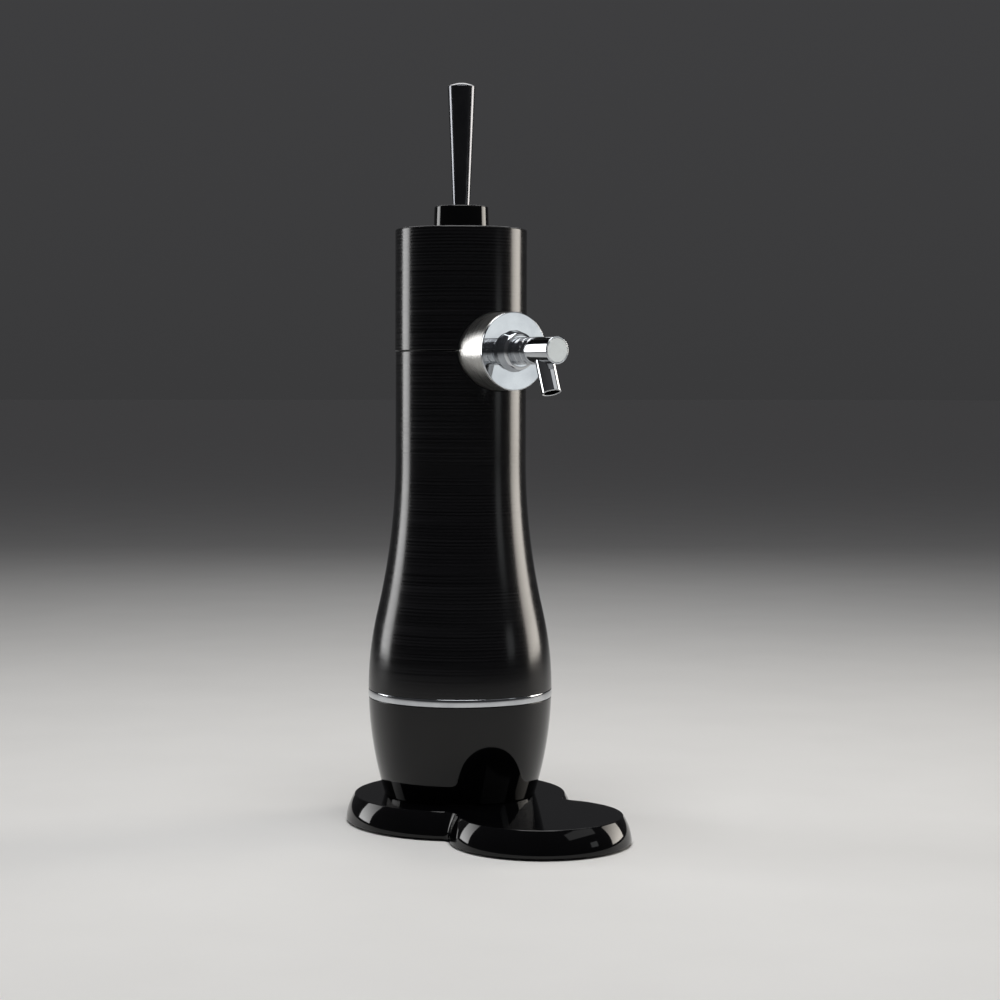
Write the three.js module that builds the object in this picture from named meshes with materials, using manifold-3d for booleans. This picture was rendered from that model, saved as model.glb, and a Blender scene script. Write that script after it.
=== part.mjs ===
// An ultrasonic beer pourer: a bottle-shaped tower on a figure-eight foot.
// The head lifts off the tower, so that a bottle or can goes into the chamber. It carries the pump, the
// cells, the spout with its ultrasonic horn, and the tap lever, which tilts forwards to pour and back to
// foam. Millimetres, +Z up. The origin is the middle of the foot's outline, on the table. The spout points
// to -Y.
import * as THREE from "three";
import { mergeVertices } from "three/addons/utils/BufferGeometryUtils.js";
import Module from "manifold-3d";

const wasm = await Module();
wasm.setup();

// Clearances
const fit = 0.3; // between round pieces that nest or turn in each other
const touch = 0.05; // between flat faces that rest on each other
const overrun = 2; // how far a cutting tool runs past what it cuts

// How finely round pieces and curves are divided
const sides = { large: 36, medium: 24, small: 16, tiny: 8 };
const steps = {
  towerLobe: 30,
  glassLobe: 24,
  waistFillet: 4,
  cupOutside: 4,
  cupInside: 3,
  towerOutside: 9,
  towerInside: 6,
  edge: 2,
  round: 3,
  ball: 8,
  dome: 4,
  pumpBend: 10,
  spoutBend: 5,
  tubeLength: 22,
  tubeRound: 4,
  pumpRound: 8,
};

// Where fixings and pads stand on their circles, in degrees from +X
const angles = {
  towerCover: [30, 150],
  glassCover: [270],
  cup: [90, 210, 330],
  towerPads: [90, 345, 195],
  glassPads: [320, 220],
  collar: [30, 210],
};

// The foot: two overlapping discs, one under the tower and one under the glass
const foot = {
  towerLobe: 84,
  glassLobe: 64.5,
  spacing: 102.5,
  waistFillet: 6,
  top: 20,
  bottom: 1.5,
  wall: 2.5,
  sideCurve: 34.5, // the bulging side is upright at the table
  sideShares: [0, 0.4, 0.75, 1], // of the side's height, where it is faceted
  cover: 2.2,
  coverRecess: 0.6,
  ballast: 6,
  bossRadius: 4,
  padRadius: 8,
  towerFixingInset: 22, // from a disc's edge to the circle of the pads and bosses
  glassFixingInset: 19.5,
};
const towerY = (foot.spacing + foot.glassLobe - foot.towerLobe) / 2;
const glassY = towerY - foot.spacing;
const towerFixings = foot.towerLobe - foot.towerFixingInset;
const glassFixings = foot.glassLobe - foot.glassFixingInset;
const coverBottom = foot.bottom + foot.coverRecess;
const coverTop = coverBottom + foot.cover;

// The tower's outline
const tower = {
  headRadius: 48.5,
  neckRadius: 48.1,
  hipRadius: 67.7,
  waistHeight: 268, // where the straight neck starts to swell
  hipHeight: 99.5, // where the tower is widest
  cupCurve: 265, // the bulge of the lower cup's side
  neckCurveShare: 0.671, // the hollow curve's part of the swell
  wall: 2.5,
  seam: 346.5,
  seamGap: 0.8,
  headHeight: 89.5, // from the seam to the head's top
  headEdge: 1.2,
  ringDrop: 7.1, // from the hip to the ring's bottom
  ringHeight: 5.5,
  ringProud: 0.25,
};
const ringBottom = tower.hipHeight - tower.ringDrop;
const ringTop = ringBottom + tower.ringHeight;
const headTop = tower.seam + tower.headHeight;
const bodyTop = tower.seam - tower.seamGap / 2;
const headBottom = tower.seam + tower.seamGap / 2;
const headInside = tower.headRadius - tower.wall;
const neckInside = tower.neckRadius - tower.wall;

// The lower cup and the chamber
const cup = {
  floor: 3,
  spigotRise: 6.1, // from the ring's top
  spigotWall: 2.4,
  spigotGap: 0.8,
  bossHeight: 8,
  bossRadius: 4,
  bossInset: 5.5, // from the cup's edge to the circle of its bosses
};
const chamber = {
  neckGap: 2.2,
  wall: 1.4,
  floor: 2,
  topDepth: 30.1, // below the tower's open top
  lip: 3,
  pad: 2,
  padGap: 1.5,
};
const spigotTop = ringTop + cup.spigotRise;
const chamberRadius = neckInside - chamber.neckGap - chamber.wall;
const chamberTop = bodyTop - chamber.topDepth;

// Screws
const screw = { radius: 1.4, head: 2.8, headHeight: 1.5, bore: 1.7, grip: 11 };

// The spout. Places along it are measured from the tower's axis.
const spout = {
  seamDrop: 0.5, // from the seam down to the spout's axis
  radius: 28.1,
  wall: 2.2,
  rear: 35.5,
  face: 68.8,
  plate: 1.5,
  plateEdge: 0.5,
  notchGap: 0.4,
  tubeHole: 5.5,
};
const spoutHeight = tower.seam - spout.seamDrop;
const hub = { radius: 15, nose: 13, length: 8, round: 2.5 };
const sleeve = { radius: 9.7, end: 95.3, grooves: [82.4, 89.7], grooveWidth: 1.4, grooveDepth: 0.7 };
const barrel = { end: 120.7, bore: 4, boreEnd: 108, capRadius: 8.6, cap: 1.3, edge: 0.5 };
const nozzle = { at: 103.5, radius: 7, bore: 5.6, tilt: 20, start: 2.5, length: 31.6 };
const horn = { bore: 2.5, stem: 6, radius: 10.5, waist: 58, flange: 2 };
const transducer = { start: 40, massLength: 7.2, piezoLength: 4.6, piezoBore: 3, piezoRadius: 10 };

// The lever. It rocks on a pin through its ball, inside the collar.
const collar = { height: 17, bottomRadius: 20.4, topRadius: 19.8, edge: 1, mouth: 8.9, mouthDepth: 4 };
const lever = {
  pivotDepth: 8.5, // below the collar's top
  ball: 10.5,
  stem: 4,
  stud: 3,
  studLength: 22,
  rocker: 3,
  rockerDrop: 18.5, // from the pivot to the rocker's underside
  rockerLength: 30,
  rockerWidth: 12,
  tilt: 10,
};
const pin = { radius: 1.5, length: 34 };
const handle = { bottomRadius: 6.25, topRadius: 10.2, length: 92, dome: 4 };
const collarTop = headTop + collar.height;
const pivotHeight = collarTop - lever.pivotDepth;
const rockerBottom = pivotHeight - lever.rockerDrop;

// The plungers that centre the lever, in their bracket
const plunger = {
  offset: 12, // from the lever's axis
  radius: 2,
  headRadius: 3.4,
  headHeight: 3,
  domeRadius: 4,
  slackGap: 0.5,
  springLength: 8,
  reachLength: 1.3,
};
const bracket = {
  floor: 3,
  gap: 1.5,
  wall: 2,
  length: 33,
  earWidth: 8,
  earThickness: 2.3,
  earLength: 24,
};
const plungerTop = rockerBottom - plunger.slackGap;
const springTop = plungerTop - plunger.headHeight - fit;
const bracketFloorTop = springTop - plunger.springLength - fit;
const plungerBottom = bracketFloorTop - bracket.floor - plunger.reachLength;
const plungerTravel = plunger.offset * THREE.MathUtils.degToRad(lever.tilt);

// The chassis under the head, with a spigot that plugs into the neck
const chassis = {
  rise: 2.1,
  thickness: 3,
  spigotLength: 17,
  spigotWall: 2,
  spigotGap: 0.7,
  frontEdge: 23.5,
};
const chassisBottom = headBottom + chassis.rise;
const chassisTop = chassisBottom + chassis.thickness;
const spigotRadius = neckInside - chassis.spigotGap;

// The control board on the pump, with the two switches below the plungers
const board = { thickness: 1.6, width: 40, front: 24, back: 15.5 };
const tapSwitch = { width: 6, height: 3.5, button: 1.7, buttonRise: 1.056 };
const switchTop = plungerBottom - plungerTravel - fit;
const boardTop = switchTop - tapSwitch.buttonRise - tapSwitch.height - touch;
const boardBottom = boardTop - board.thickness;

// The pump, under the board. Its axle runs across the head, and the tube goes over its rollers.
const tube = { radius: 3, bore: 2, dipGap: 7.55, bendRadius: 10 };
const pump = {
  track: 14, // from the axle to the middle of the tube
  tubeGap: 0.7,
  wall: 3,
  inside: 12.3,
  plate: 2.5,
  frontDrop: 18, // from the axle down to the front wall's end
  roller: 4,
  rollerBore: 1.3,
  rollerLength: 6.6,
  rollerPin: 1,
  rollers: 2,
  carrierThickness: 1.5,
  axle: 1.5,
  axleHub: 2.2,
  cover: 2.3,
};
const motor = { radius: 11.5, length: 26, cap: 2, capRadius: 8, shaftLength: 11 };
const fitting = {
  flange: 5.2,
  flangeHeight: 2,
  stem: 4.4,
  drop: 9,
  socketDepth: 7,
  barb: 1.7,
  barbLength: 6,
  bore: 1,
};
const pumpY = -pump.track;
const pumpOuter = pump.track + tube.radius + pump.tubeGap + pump.wall;
const pumpHeight = boardBottom - fit - pumpOuter;
const rollerOrbit = pump.track - tube.radius - fit - pump.roller;

// The cells, their tray and the door below it
const cell = { radius: 7.25, length: 50.5, nub: 2.75, nubHeight: 1, pitch: 15.2, y: 26, count: 2 };
const tray = { wall: 1.4, top: 1.6 };
const contact = { thickness: 0.4, inset: 1 };
const door = { thickness: 2.4, gap: 0.4, swingGap: 0.8, knuckle: 2, knuckleLength: 16, pin: 1, lug: 4 };
const trayHalfWidth = ((cell.count - 1) * cell.pitch) / 2 + cell.radius + fit + tray.wall;
const trayHalfDepth = cell.radius + fit + tray.wall;
const cellBottom = chassisBottom + door.thickness + touch + contact.thickness + fit;
const cellTop = cellBottom + cell.length;
const doorAxisY = cell.y - trayHalfDepth - door.knuckle;
const doorAxisHeight = chassisBottom - door.knuckle - fit;

// A material as the photograph shows it.
function finish(color, roughness, metalness) {
  return new THREE.MeshStandardMaterial({ color, roughness, metalness });
}
const finishes = {
  glossBlack: finish("#0b0b0c", 0.08, 0),
  satinBlack: finish("#17171a", 0.42, 0.2),
  innerBlack: finish("#1d1d1f", 0.6, 0),
  chrome: finish("#e8eaec", 0.06, 1),
  brushedSteel: finish("#c9cac8", 0.28, 1),
  zinc: finish("#9da1a3", 0.4, 1),
  rubber: finish("#202020", 0.85, 0),
  silicone: finish("#dfe3e2", 0.5, 0),
  nylon: finish("#e9e6dc", 0.55, 0),
  ceramic: finish("#e6dcc6", 0.5, 0),
  circuitBoard: finish("#1e5b39", 0.5, 0),
  cellJacket: finish("#3c4a52", 0.35, 0.3),
  brass: finish("#c9a45a", 0.35, 1),
};

// A closed geometry as a solid that can be joined and cut.
function solid(geometry) {
  const bare = geometry.index ? geometry.toNonIndexed() : geometry.clone();
  bare.deleteAttribute("normal");
  bare.deleteAttribute("uv");
  const merged = mergeVertices(bare);
  const vertProperties = merged.attributes.position.array;
  const triVerts = new Uint32Array(merged.index.array);
  return new wasm.Manifold(new wasm.Mesh({ numProp: 3, vertProperties, triVerts }));
}

// A solid as a named piece.
function piece(name, made, material) {
  const mesh = made.getMesh();
  const geometry = new THREE.BufferGeometry();
  geometry.setAttribute("position", new THREE.BufferAttribute(mesh.vertProperties, mesh.numProp));
  geometry.setIndex(new THREE.BufferAttribute(mesh.triVerts, 1));
  geometry.computeVertexNormals();
  const named = new THREE.Mesh(geometry, material);
  named.name = name;
  return named;
}

// A solid of revolution about Z from [radius, height] points, in the order bottom, outside, top, inside.
// The points start and end on the axis, or else the last one joins the first.
function turned(points, divisions) {
  const profile = points.map(([radius, height]) => new THREE.Vector2(radius, height));
  if (points[0][0] > 0) profile.push(profile[0].clone());
  return solid(new THREE.LatheGeometry(profile, divisions).rotateX(Math.PI / 2));
}

// A round bar along Z.
function bar(radius, from, to, divisions) {
  return turned([[0, from], [radius, from], [radius, to], [0, to]], divisions);
}

// A round pipe along Z.
function pipe(inner, outer, from, to, divisions) {
  return turned([[inner, from], [outer, from], [outer, to], [inner, to]], divisions);
}

// A block from its lowest to its highest corner.
function block(low, high) {
  const size = high.map((value, axis) => value - low[axis]);
  const middle = high.map((value, axis) => (value + low[axis]) / 2);
  return solid(new THREE.BoxGeometry(...size).translate(...middle));
}

// A flat shape raised along Z from one height to another.
function raised(shape, from, to, divisions) {
  const options = { depth: to - from, bevelEnabled: false, curveSegments: divisions };
  return solid(new THREE.ExtrudeGeometry(shape, options).translate(0, 0, from));
}

// The solid cut by each of the others.
function cut(made, ...cutters) {
  return cutters.reduce((rest, cutter) => rest.subtract(cutter), made);
}

// The solid joined with each of the others.
function join(made, ...others) {
  return others.reduce((sum, other) => sum.add(other), made);
}

// A point on a circle about (0, centreY), at an angle in degrees from +X.
function onCircle(centreY, radius, degrees) {
  const angle = THREE.MathUtils.degToRad(degrees);
  return [radius * Math.cos(angle), centreY + radius * Math.sin(angle)];
}

// Points of a circular arc of [radius, height], angles in degrees from the outward direction.
function arcPoints(centreRadius, centreHeight, radius, from, to, count) {
  return Array.from({ length: count + 1 }, (_, index) => {
    const angle = THREE.MathUtils.degToRad(from + ((to - from) * index) / count);
    return [centreRadius + radius * Math.cos(angle), centreHeight + radius * Math.sin(angle)];
  });
}

// The tower's outer radius at a height. Above the hip, a bulging arc runs into a hollow one and that
// into the straight neck, each tangent to the next. Below it, the cup's own arc draws in.
const swell = tower.hipRadius - tower.neckRadius;
const swellHeight = tower.waistHeight - tower.hipHeight;
const bothCurves = (swell ** 2 + swellHeight ** 2) / (2 * swell);
const neckCurve = bothCurves * tower.neckCurveShare;
const hipCurve = bothCurves - neckCurve;
const curvesMeet = tower.waistHeight - swellHeight * tower.neckCurveShare;

function towerRadius(height) {
  if (height >= tower.waistHeight) return tower.neckRadius;
  if (height >= curvesMeet) {
    const fromWaist = tower.waistHeight - height;
    return tower.neckRadius + neckCurve - Math.sqrt(neckCurve ** 2 - fromWaist ** 2);
  }
  const fromHip = height - tower.hipHeight;
  const curve = fromHip >= 0 ? hipCurve : tower.cupCurve;
  return tower.hipRadius - curve + Math.sqrt(curve ** 2 - fromHip ** 2);
}

// Points on the tower's side between two heights, moved in by an inset.
function towerSide(from, to, count, inset) {
  return Array.from({ length: count + 1 }, (_, index) => {
    const height = from + ((to - from) * index) / count;
    return [towerRadius(height) - inset, height];
  });
}

// The foot's outline, moved in by an inset. Each arc keeps its centre, so the discs shrink and the
// waist's fillets grow.
const towerToFillet = foot.towerLobe + foot.waistFillet;
const glassToFillet = foot.glassLobe + foot.waistFillet;
const filletSquares = foot.spacing ** 2 + towerToFillet ** 2 - glassToFillet ** 2;
const filletForward = filletSquares / (2 * foot.spacing);
const filletSideways = Math.sqrt(towerToFillet ** 2 - filletForward ** 2);
const towerArc = Math.atan2(filletSideways, filletForward);
const glassArc = Math.atan2(filletSideways, foot.spacing - filletForward);

function footOutline(inset) {
  const points = [];
  const addArc = (x, y, radius, from, to, count) => {
    for (let index = 0; index < count; index += 1) {
      const angle = from + ((to - from) * index) / count;
      points.push([x + radius * Math.cos(angle), y + radius * Math.sin(angle)]);
    }
  };
  const right = Math.PI / 2;
  const fillet = foot.waistFillet + inset;
  const filletY = towerY - filletForward;
  addArc(0, towerY, foot.towerLobe - inset, towerArc - right, 3 * right - towerArc, steps.towerLobe);
  addArc(-filletSideways, filletY, fillet, right - towerArc, glassArc - right, steps.waistFillet);
  addArc(0, glassY, foot.glassLobe - inset, right + glassArc, 5 * right - glassArc, steps.glassLobe);
  addArc(filletSideways, filletY, fillet, 3 * right - glassArc, right + towerArc, steps.waistFillet);
  return points;
}

// A solid with the foot's outline, through levels of [inset, height] from the lowest up.
function footSolid(levels) {
  const rings = levels.map(([inset]) => footOutline(inset));
  const count = rings[0].length;
  const position = rings.flatMap((ring, level) => ring.flatMap(([x, y]) => [x, y, levels[level][1]]));
  const faces = [];
  for (let level = 0; level < levels.length - 1; level += 1) {
    for (let index = 0; index < count; index += 1) {
      const here = level * count + index;
      const next = level * count + ((index + 1) % count);
      faces.push(here, next, next + count, here, next + count, here + count);
    }
  }
  const flat = rings[0].map(([x, y]) => new THREE.Vector2(x, y));
  const last = (levels.length - 1) * count;
  for (const [a, b, c] of THREE.ShapeUtils.triangulateShape(flat, [])) {
    faces.push(a, c, b, last + a, last + b, last + c);
  }
  const geometry = new THREE.BufferGeometry();
  geometry.setAttribute("position", new THREE.Float32BufferAttribute(position, 3));
  geometry.setIndex(faces);
  return solid(geometry);
}

// A screw along Z, its head below the seat.
function screwSolid(seat) {
  const headBottom = seat - screw.headHeight;
  const tip = seat + screw.grip;
  const points = [
    [0, headBottom],
    [screw.head, headBottom],
    [screw.head, seat],
    [screw.radius, seat],
    [screw.radius, tip - screw.radius],
    [0, tip],
  ];
  return turned(points, sides.tiny);
}

// The foot: shell, ballast, cover, pads and screws
const cupBottom = foot.top + touch;
const bossCircle = towerRadius(cupBottom) - cup.bossInset;
const coverFixings = [
  ...angles.towerCover.map((degrees) => onCircle(towerY, towerFixings, degrees)),
  ...angles.glassCover.map((degrees) => onCircle(glassY, glassFixings, degrees)),
];
const cupFixings = angles.cup.map((degrees) => onCircle(towerY, bossCircle, degrees));
const padPlaces = [
  ...angles.towerPads.map((degrees) => onCircle(towerY, towerFixings, degrees)),
  ...angles.glassPads.map((degrees) => onCircle(glassY, glassFixings, degrees)),
];

function footInset(height) {
  return foot.sideCurve - Math.sqrt(foot.sideCurve ** 2 - height ** 2);
}

function footShell() {
  const ceiling = foot.top - foot.wall;
  const heights = foot.sideShares.map((share) => foot.bottom + (foot.top - foot.bottom) * share);
  const outside = heights.map((height) => [footInset(height), height]);
  const inside = [foot.bottom - overrun, coverTop, ceiling].map((height) => {
    return [footInset(Math.max(height, foot.bottom)) + foot.wall, height];
  });
  const bosses = coverFixings.map(([x, y]) => {
    const bossTop = foot.top - foot.wall / 2;
    return bar(foot.bossRadius, coverTop + touch, bossTop, sides.tiny).translate(x, y, 0);
  });
  const bossBores = coverFixings.map(([x, y]) => {
    return bar(screw.bore, 0, coverTop + screw.grip, sides.tiny).translate(x, y, 0);
  });
  const cupBores = cupFixings.map(([x, y]) => {
    return bar(screw.bore, ceiling - overrun, foot.top + overrun, sides.tiny).translate(x, y, 0);
  });
  return cut(join(cut(footSolid(outside), footSolid(inside)), ...bosses), ...bossBores, ...cupBores);
}

function footBallast() {
  const bottom = coverTop + touch;
  const top = bottom + foot.ballast;
  const inset = footInset(foot.top - foot.wall) + foot.wall + fit;
  const rooms = coverFixings.map(([x, y]) => {
    return bar(foot.bossRadius + fit, bottom - overrun, top + overrun, sides.tiny).translate(x, y, 0);
  });
  return cut(footSolid([[inset, bottom], [inset, top]]), ...rooms);
}

function footCover() {
  const inset = footInset(coverTop) + foot.wall + fit;
  const holes = coverFixings.map(([x, y]) => {
    return bar(screw.bore, coverBottom - overrun, coverTop + overrun, sides.tiny).translate(x, y, 0);
  });
  return cut(footSolid([[inset, coverBottom], [inset, coverTop]]), ...holes);
}

const product = new THREE.Group();
product.add(
  piece("foot_shell", footShell(), finishes.glossBlack),
  piece("foot_ballast", footBallast(), finishes.zinc),
  piece("foot_cover", footCover(), finishes.innerBlack),
);
const footPad = bar(foot.padRadius, 0, coverBottom - touch, sides.small);
padPlaces.forEach(([x, y], index) => {
  const pad = piece(`foot_pad_${index + 1}`, footPad, finishes.rubber);
  pad.position.set(x, y, 0);
  product.add(pad);
});
coverFixings.forEach(([x, y], index) => {
  const fixing = piece(`cover_screw_${index + 1}`, screwSolid(coverBottom - touch), finishes.zinc);
  fixing.position.set(x, y, 0);
  product.add(fixing);
});
cupFixings.forEach(([x, y], index) => {
  const fixing = piece(`cup_screw_${index + 1}`, screwSolid(foot.top - foot.wall - touch), finishes.zinc);
  fixing.position.set(x, y, 0);
  product.add(fixing);
});

// The tower: cup, ring, shell and chamber
const towerGroup = new THREE.Group();
towerGroup.position.set(0, towerY, 0);
product.add(towerGroup);

const cupFloor = cupBottom + cup.floor;
const spigotOutside = towerRadius(spigotTop) - tower.wall - cup.spigotGap;

function lowerCup() {
  const shoulder = ringBottom - touch;
  const inside = towerSide(cupFloor, shoulder - tower.wall, steps.cupInside, tower.wall + fit);
  const points = [
    [0, cupBottom],
    ...towerSide(cupBottom, shoulder, steps.cupOutside, 0),
    [spigotOutside, shoulder],
    [spigotOutside, spigotTop],
    [spigotOutside - cup.spigotWall, spigotTop],
    ...inside.reverse(),
    [0, cupFloor],
  ];
  const bosses = cupFixings.map(([x, y]) => {
    const top = cupFloor + cup.bossHeight;
    return bar(cup.bossRadius, cupBottom + cup.floor / 2, top, sides.tiny).translate(x, y - towerY, 0);
  });
  const bores = cupFixings.map(([x, y]) => {
    const top = foot.top - foot.wall + screw.grip + fit;
    return bar(screw.bore, cupBottom - overrun, top, sides.tiny).translate(x, y - towerY, 0);
  });
  return cut(join(turned(points, sides.large), ...bosses), ...bores);
}

function trimRing() {
  const outside = tower.hipRadius + tower.ringProud;
  const edge = tower.ringProud;
  const points = [
    [spigotOutside + fit, ringBottom],
    [outside - edge, ringBottom],
    [outside, ringBottom + edge],
    [outside, ringTop - edge],
    [outside - edge, ringTop],
    [spigotOutside + fit, ringTop],
  ];
  return turned(points, sides.large);
}

// The bar that clears the spout's housing in front of the tower.
function spoutRoom() {
  const room = bar(spout.radius + spout.notchGap, 0, spout.face, sides.large);
  return room.rotate([90, 0, 0]).translate(0, 0, spoutHeight);
}

function towerShell() {
  const bottom = ringTop + touch;
  const points = [
    ...towerSide(bottom, tower.waistHeight, steps.towerOutside, 0),
    [tower.neckRadius, bodyTop],
    [neckInside, bodyTop],
    ...towerSide(bottom, tower.waistHeight, steps.towerInside, tower.wall).reverse(),
  ];
  return cut(turned(points, sides.large), spoutRoom());
}

const linerBottom = cupFloor + touch;
const linerFloor = linerBottom + chamber.floor;

function chamberLiner() {
  const outside = chamberRadius + chamber.wall;
  const lipOutside = neckInside - fit;
  const points = [
    [0, linerBottom],
    [outside, linerBottom],
    [outside, chamberTop - chamber.lip],
    [lipOutside, chamberTop - chamber.lip],
    [lipOutside, chamberTop],
    [chamberRadius, chamberTop],
    [chamberRadius, linerFloor],
    [0, linerFloor],
  ];
  return turned(points, sides.medium);
}

const padBottom = linerFloor + touch;
const padTop = padBottom + chamber.pad;
const bottlePad = bar(chamberRadius - chamber.padGap, padBottom, padTop, sides.medium);
towerGroup.add(
  piece("lower_cup", lowerCup(), finishes.glossBlack),
  piece("trim_ring", trimRing(), finishes.chrome),
  piece("tower_shell", towerShell(), finishes.satinBlack),
  piece("chamber_liner", chamberLiner(), finishes.innerBlack),
  piece("bottle_pad", bottlePad, finishes.silicone),
);

// The head: shell, chassis and collar
const headGroup = new THREE.Group();
towerGroup.add(headGroup);

const pinSlot = pin.length / 2 + fit;
const collarFixings = angles.collar.map((degrees) => {
  return onCircle(0, (lever.ball + collar.topRadius) / 2, degrees);
});
const bracketTop = headTop - tower.wall - touch;
const collarScrewSeat = bracketTop - bracket.earThickness - touch;

// Bores for the collar's screws between two heights.
function collarBores(from, to) {
  return collarFixings.map(([x, y]) => bar(screw.bore, from, to, sides.tiny).translate(x, y, 0));
}

function headShell() {
  const ceiling = headTop - tower.wall;
  const round = tower.headEdge;
  const points = [
    [tower.headRadius, headBottom],
    ...arcPoints(tower.headRadius - round, headTop - round, round, 0, 90, steps.edge),
    [lever.ball + 2 * fit, headTop],
    [lever.ball + 2 * fit, ceiling],
    [headInside, ceiling],
    [headInside, headBottom],
  ];
  const saddleTop = pivotHeight - pin.radius - fit;
  const saddles = [-1, 1].map((side) => {
    const inner = side * (lever.ball + 3 * fit);
    const outer = side * (pinSlot - fit);
    const low = [Math.min(inner, outer), -pin.radius, ceiling + tower.wall / 2];
    const high = [Math.max(inner, outer), pin.radius, saddleTop];
    return block(low, high);
  });
  const bores = collarBores(ceiling - overrun, headTop + overrun);
  return cut(join(turned(points, sides.large), ...saddles), spoutRoom(), ...bores);
}

function collarSolid() {
  const bottom = headTop + touch;
  const bore = lever.ball + 2 * fit;
  const points = [
    [bore, bottom],
    [collar.bottomRadius, bottom],
    [collar.topRadius, collarTop - collar.edge],
    [collar.topRadius - collar.edge, collarTop],
    [collar.mouth, collarTop],
    [bore, collarTop - collar.mouthDepth],
  ];
  const slotTop = pivotHeight + pin.radius + fit;
  const halfSlot = pin.radius + fit;
  const slot = block([-pinSlot, -halfSlot, bottom - overrun], [pinSlot, halfSlot, slotTop]);
  const bores = collarBores(bottom - overrun, collarScrewSeat + screw.grip + fit);
  return cut(turned(points, sides.medium), slot, ...bores);
}

// The opening in the chassis for the cells, which the door closes
const doorHalfWidth = trayHalfWidth - tray.wall;
const doorFront = cell.y - trayHalfDepth + tray.wall;
const doorBack = cell.y + trayHalfDepth - tray.wall;

// A round bar along X, centred on x = 0 unless it is moved.
function crossBar(radius, length, divisions) {
  return bar(radius, -length / 2, length / 2, divisions).rotate([0, 90, 0]);
}

function headChassis() {
  const spigotBottom = chassisBottom - chassis.spigotLength;
  const spigotInside = spigotRadius - chassis.spigotWall;
  const points = [
    [0, chassisBottom],
    [spigotInside, chassisBottom],
    [spigotInside, spigotBottom],
    [spigotRadius, spigotBottom],
    [spigotRadius, chassisBottom],
    [headInside - fit, chassisBottom],
    [headInside - fit, chassisTop],
    [0, chassisTop],
  ];
  const halfFront = spout.radius + spout.notchGap;
  const frontLow = [-halfFront, -tower.headRadius, spigotBottom - overrun];
  const front = block(frontLow, [halfFront, -chassis.frontEdge, chassisTop + overrun]);
  const doorLow = [-doorHalfWidth - door.gap, doorFront - door.gap, chassisBottom - overrun];
  const doorHigh = [doorHalfWidth + door.gap, doorBack + door.swingGap, chassisTop + overrun];
  const inlet = bar(fitting.stem + fit, chassisBottom - overrun, chassisTop + overrun, sides.small);
  const lugs = [-1, 1].map((side) => {
    const middle = side * (door.knuckleLength / 2 + fit + door.lug / 2);
    const eye = crossBar(door.knuckle, door.lug, sides.tiny);
    const low = [middle - door.lug / 2, doorAxisY - door.knuckle, doorAxisHeight];
    const high = [low[0] + door.lug, low[1] + 2 * door.knuckle, chassisBottom + chassis.thickness / 2];
    return join(eye.translate(middle, doorAxisY, doorAxisHeight), block(low, high));
  });
  const lugSpan = door.knuckleLength + 2 * (door.lug + fit) + overrun;
  const pinBore = crossBar(door.pin + fit, lugSpan, sides.tiny).translate(0, doorAxisY, doorAxisHeight);
  return cut(join(turned(points, sides.large), ...lugs), front, block(doorLow, doorHigh), inlet, pinBore);
}

headGroup.add(
  piece("head_shell", headShell(), finishes.satinBlack),
  piece("head_chassis", headChassis(), finishes.innerBlack),
  piece("collar", collarSolid(), finishes.glossBlack),
);
collarFixings.forEach(([x, y], index) => {
  const fixing = piece(`collar_screw_${index + 1}`, screwSolid(collarScrewSeat), finishes.zinc);
  fixing.position.set(x, y, 0);
  headGroup.add(fixing);
});

// The battery door, its contacts, the tray and the cells
const doorTop = chassisBottom + door.thickness;
const ceilingContact = cellTop + fit;

function batteryDoor() {
  const leaf = block([-doorHalfWidth, doorFront, chassisBottom], [doorHalfWidth, doorBack, doorTop]);
  const knuckle = crossBar(door.knuckle, door.knuckleLength, sides.tiny);
  const pins = crossBar(door.pin, door.knuckleLength + 2 * (door.lug + fit), sides.tiny);
  const half = door.knuckleLength / 2;
  const armEnd = doorFront + door.knuckle;
  const arm = block([-half, doorAxisY, doorAxisHeight], [half, armEnd, chassisBottom - fit]);
  const riserTop = chassisBottom + door.thickness / 2;
  const riser = block([-half, doorFront, doorAxisHeight], [half, armEnd, riserTop]);
  return join(leaf, join(knuckle, pins).translate(0, doorAxisY, doorAxisHeight), arm, riser);
}

// A contact plate over all the cells, from a height up.
function contactPlate(bottom) {
  const halfWidth = doorHalfWidth - contact.inset;
  const front = doorFront + contact.inset;
  const back = doorBack - contact.inset;
  return block([-halfWidth, front, bottom], [halfWidth, back, bottom + contact.thickness]);
}

function cellTray() {
  const bottom = chassisTop + touch;
  const ceiling = ceilingContact + contact.thickness + touch;
  const outer = block(
    [-trayHalfWidth, cell.y - trayHalfDepth, bottom],
    [trayHalfWidth, cell.y + trayHalfDepth, ceiling + tray.top],
  );
  const roomLow = [-doorHalfWidth, doorFront, bottom - overrun];
  return cut(outer, block(roomLow, [doorHalfWidth, doorBack, ceiling]));
}

function cellSolid() {
  const shoulder = cellTop - cell.nubHeight;
  const points = [
    [0, cellBottom],
    [cell.radius, cellBottom],
    [cell.radius, shoulder],
    [cell.nub, shoulder],
    [cell.nub, cellTop],
    [0, cellTop],
  ];
  return turned(points, sides.small);
}

headGroup.add(
  piece("battery_door", batteryDoor(), finishes.innerBlack),
  piece("lower_contacts", contactPlate(doorTop + touch), finishes.brass),
  piece("cell_tray", cellTray(), finishes.nylon),
  piece("upper_contacts", contactPlate(ceilingContact), finishes.brass),
);
for (let index = 0; index < cell.count; index += 1) {
  const one = piece(`cell_${index + 1}`, cellSolid(), finishes.cellJacket);
  one.position.set((index - (cell.count - 1) / 2) * cell.pitch, cell.y, 0);
  headGroup.add(one);
}

// The spout, in its own group: Z runs forwards from the tower's axis and Y points up
const spoutGroup = new THREE.Group();
spoutGroup.position.set(0, 0, spoutHeight);
spoutGroup.rotation.x = Math.PI / 2;
headGroup.add(spoutGroup);

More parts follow.
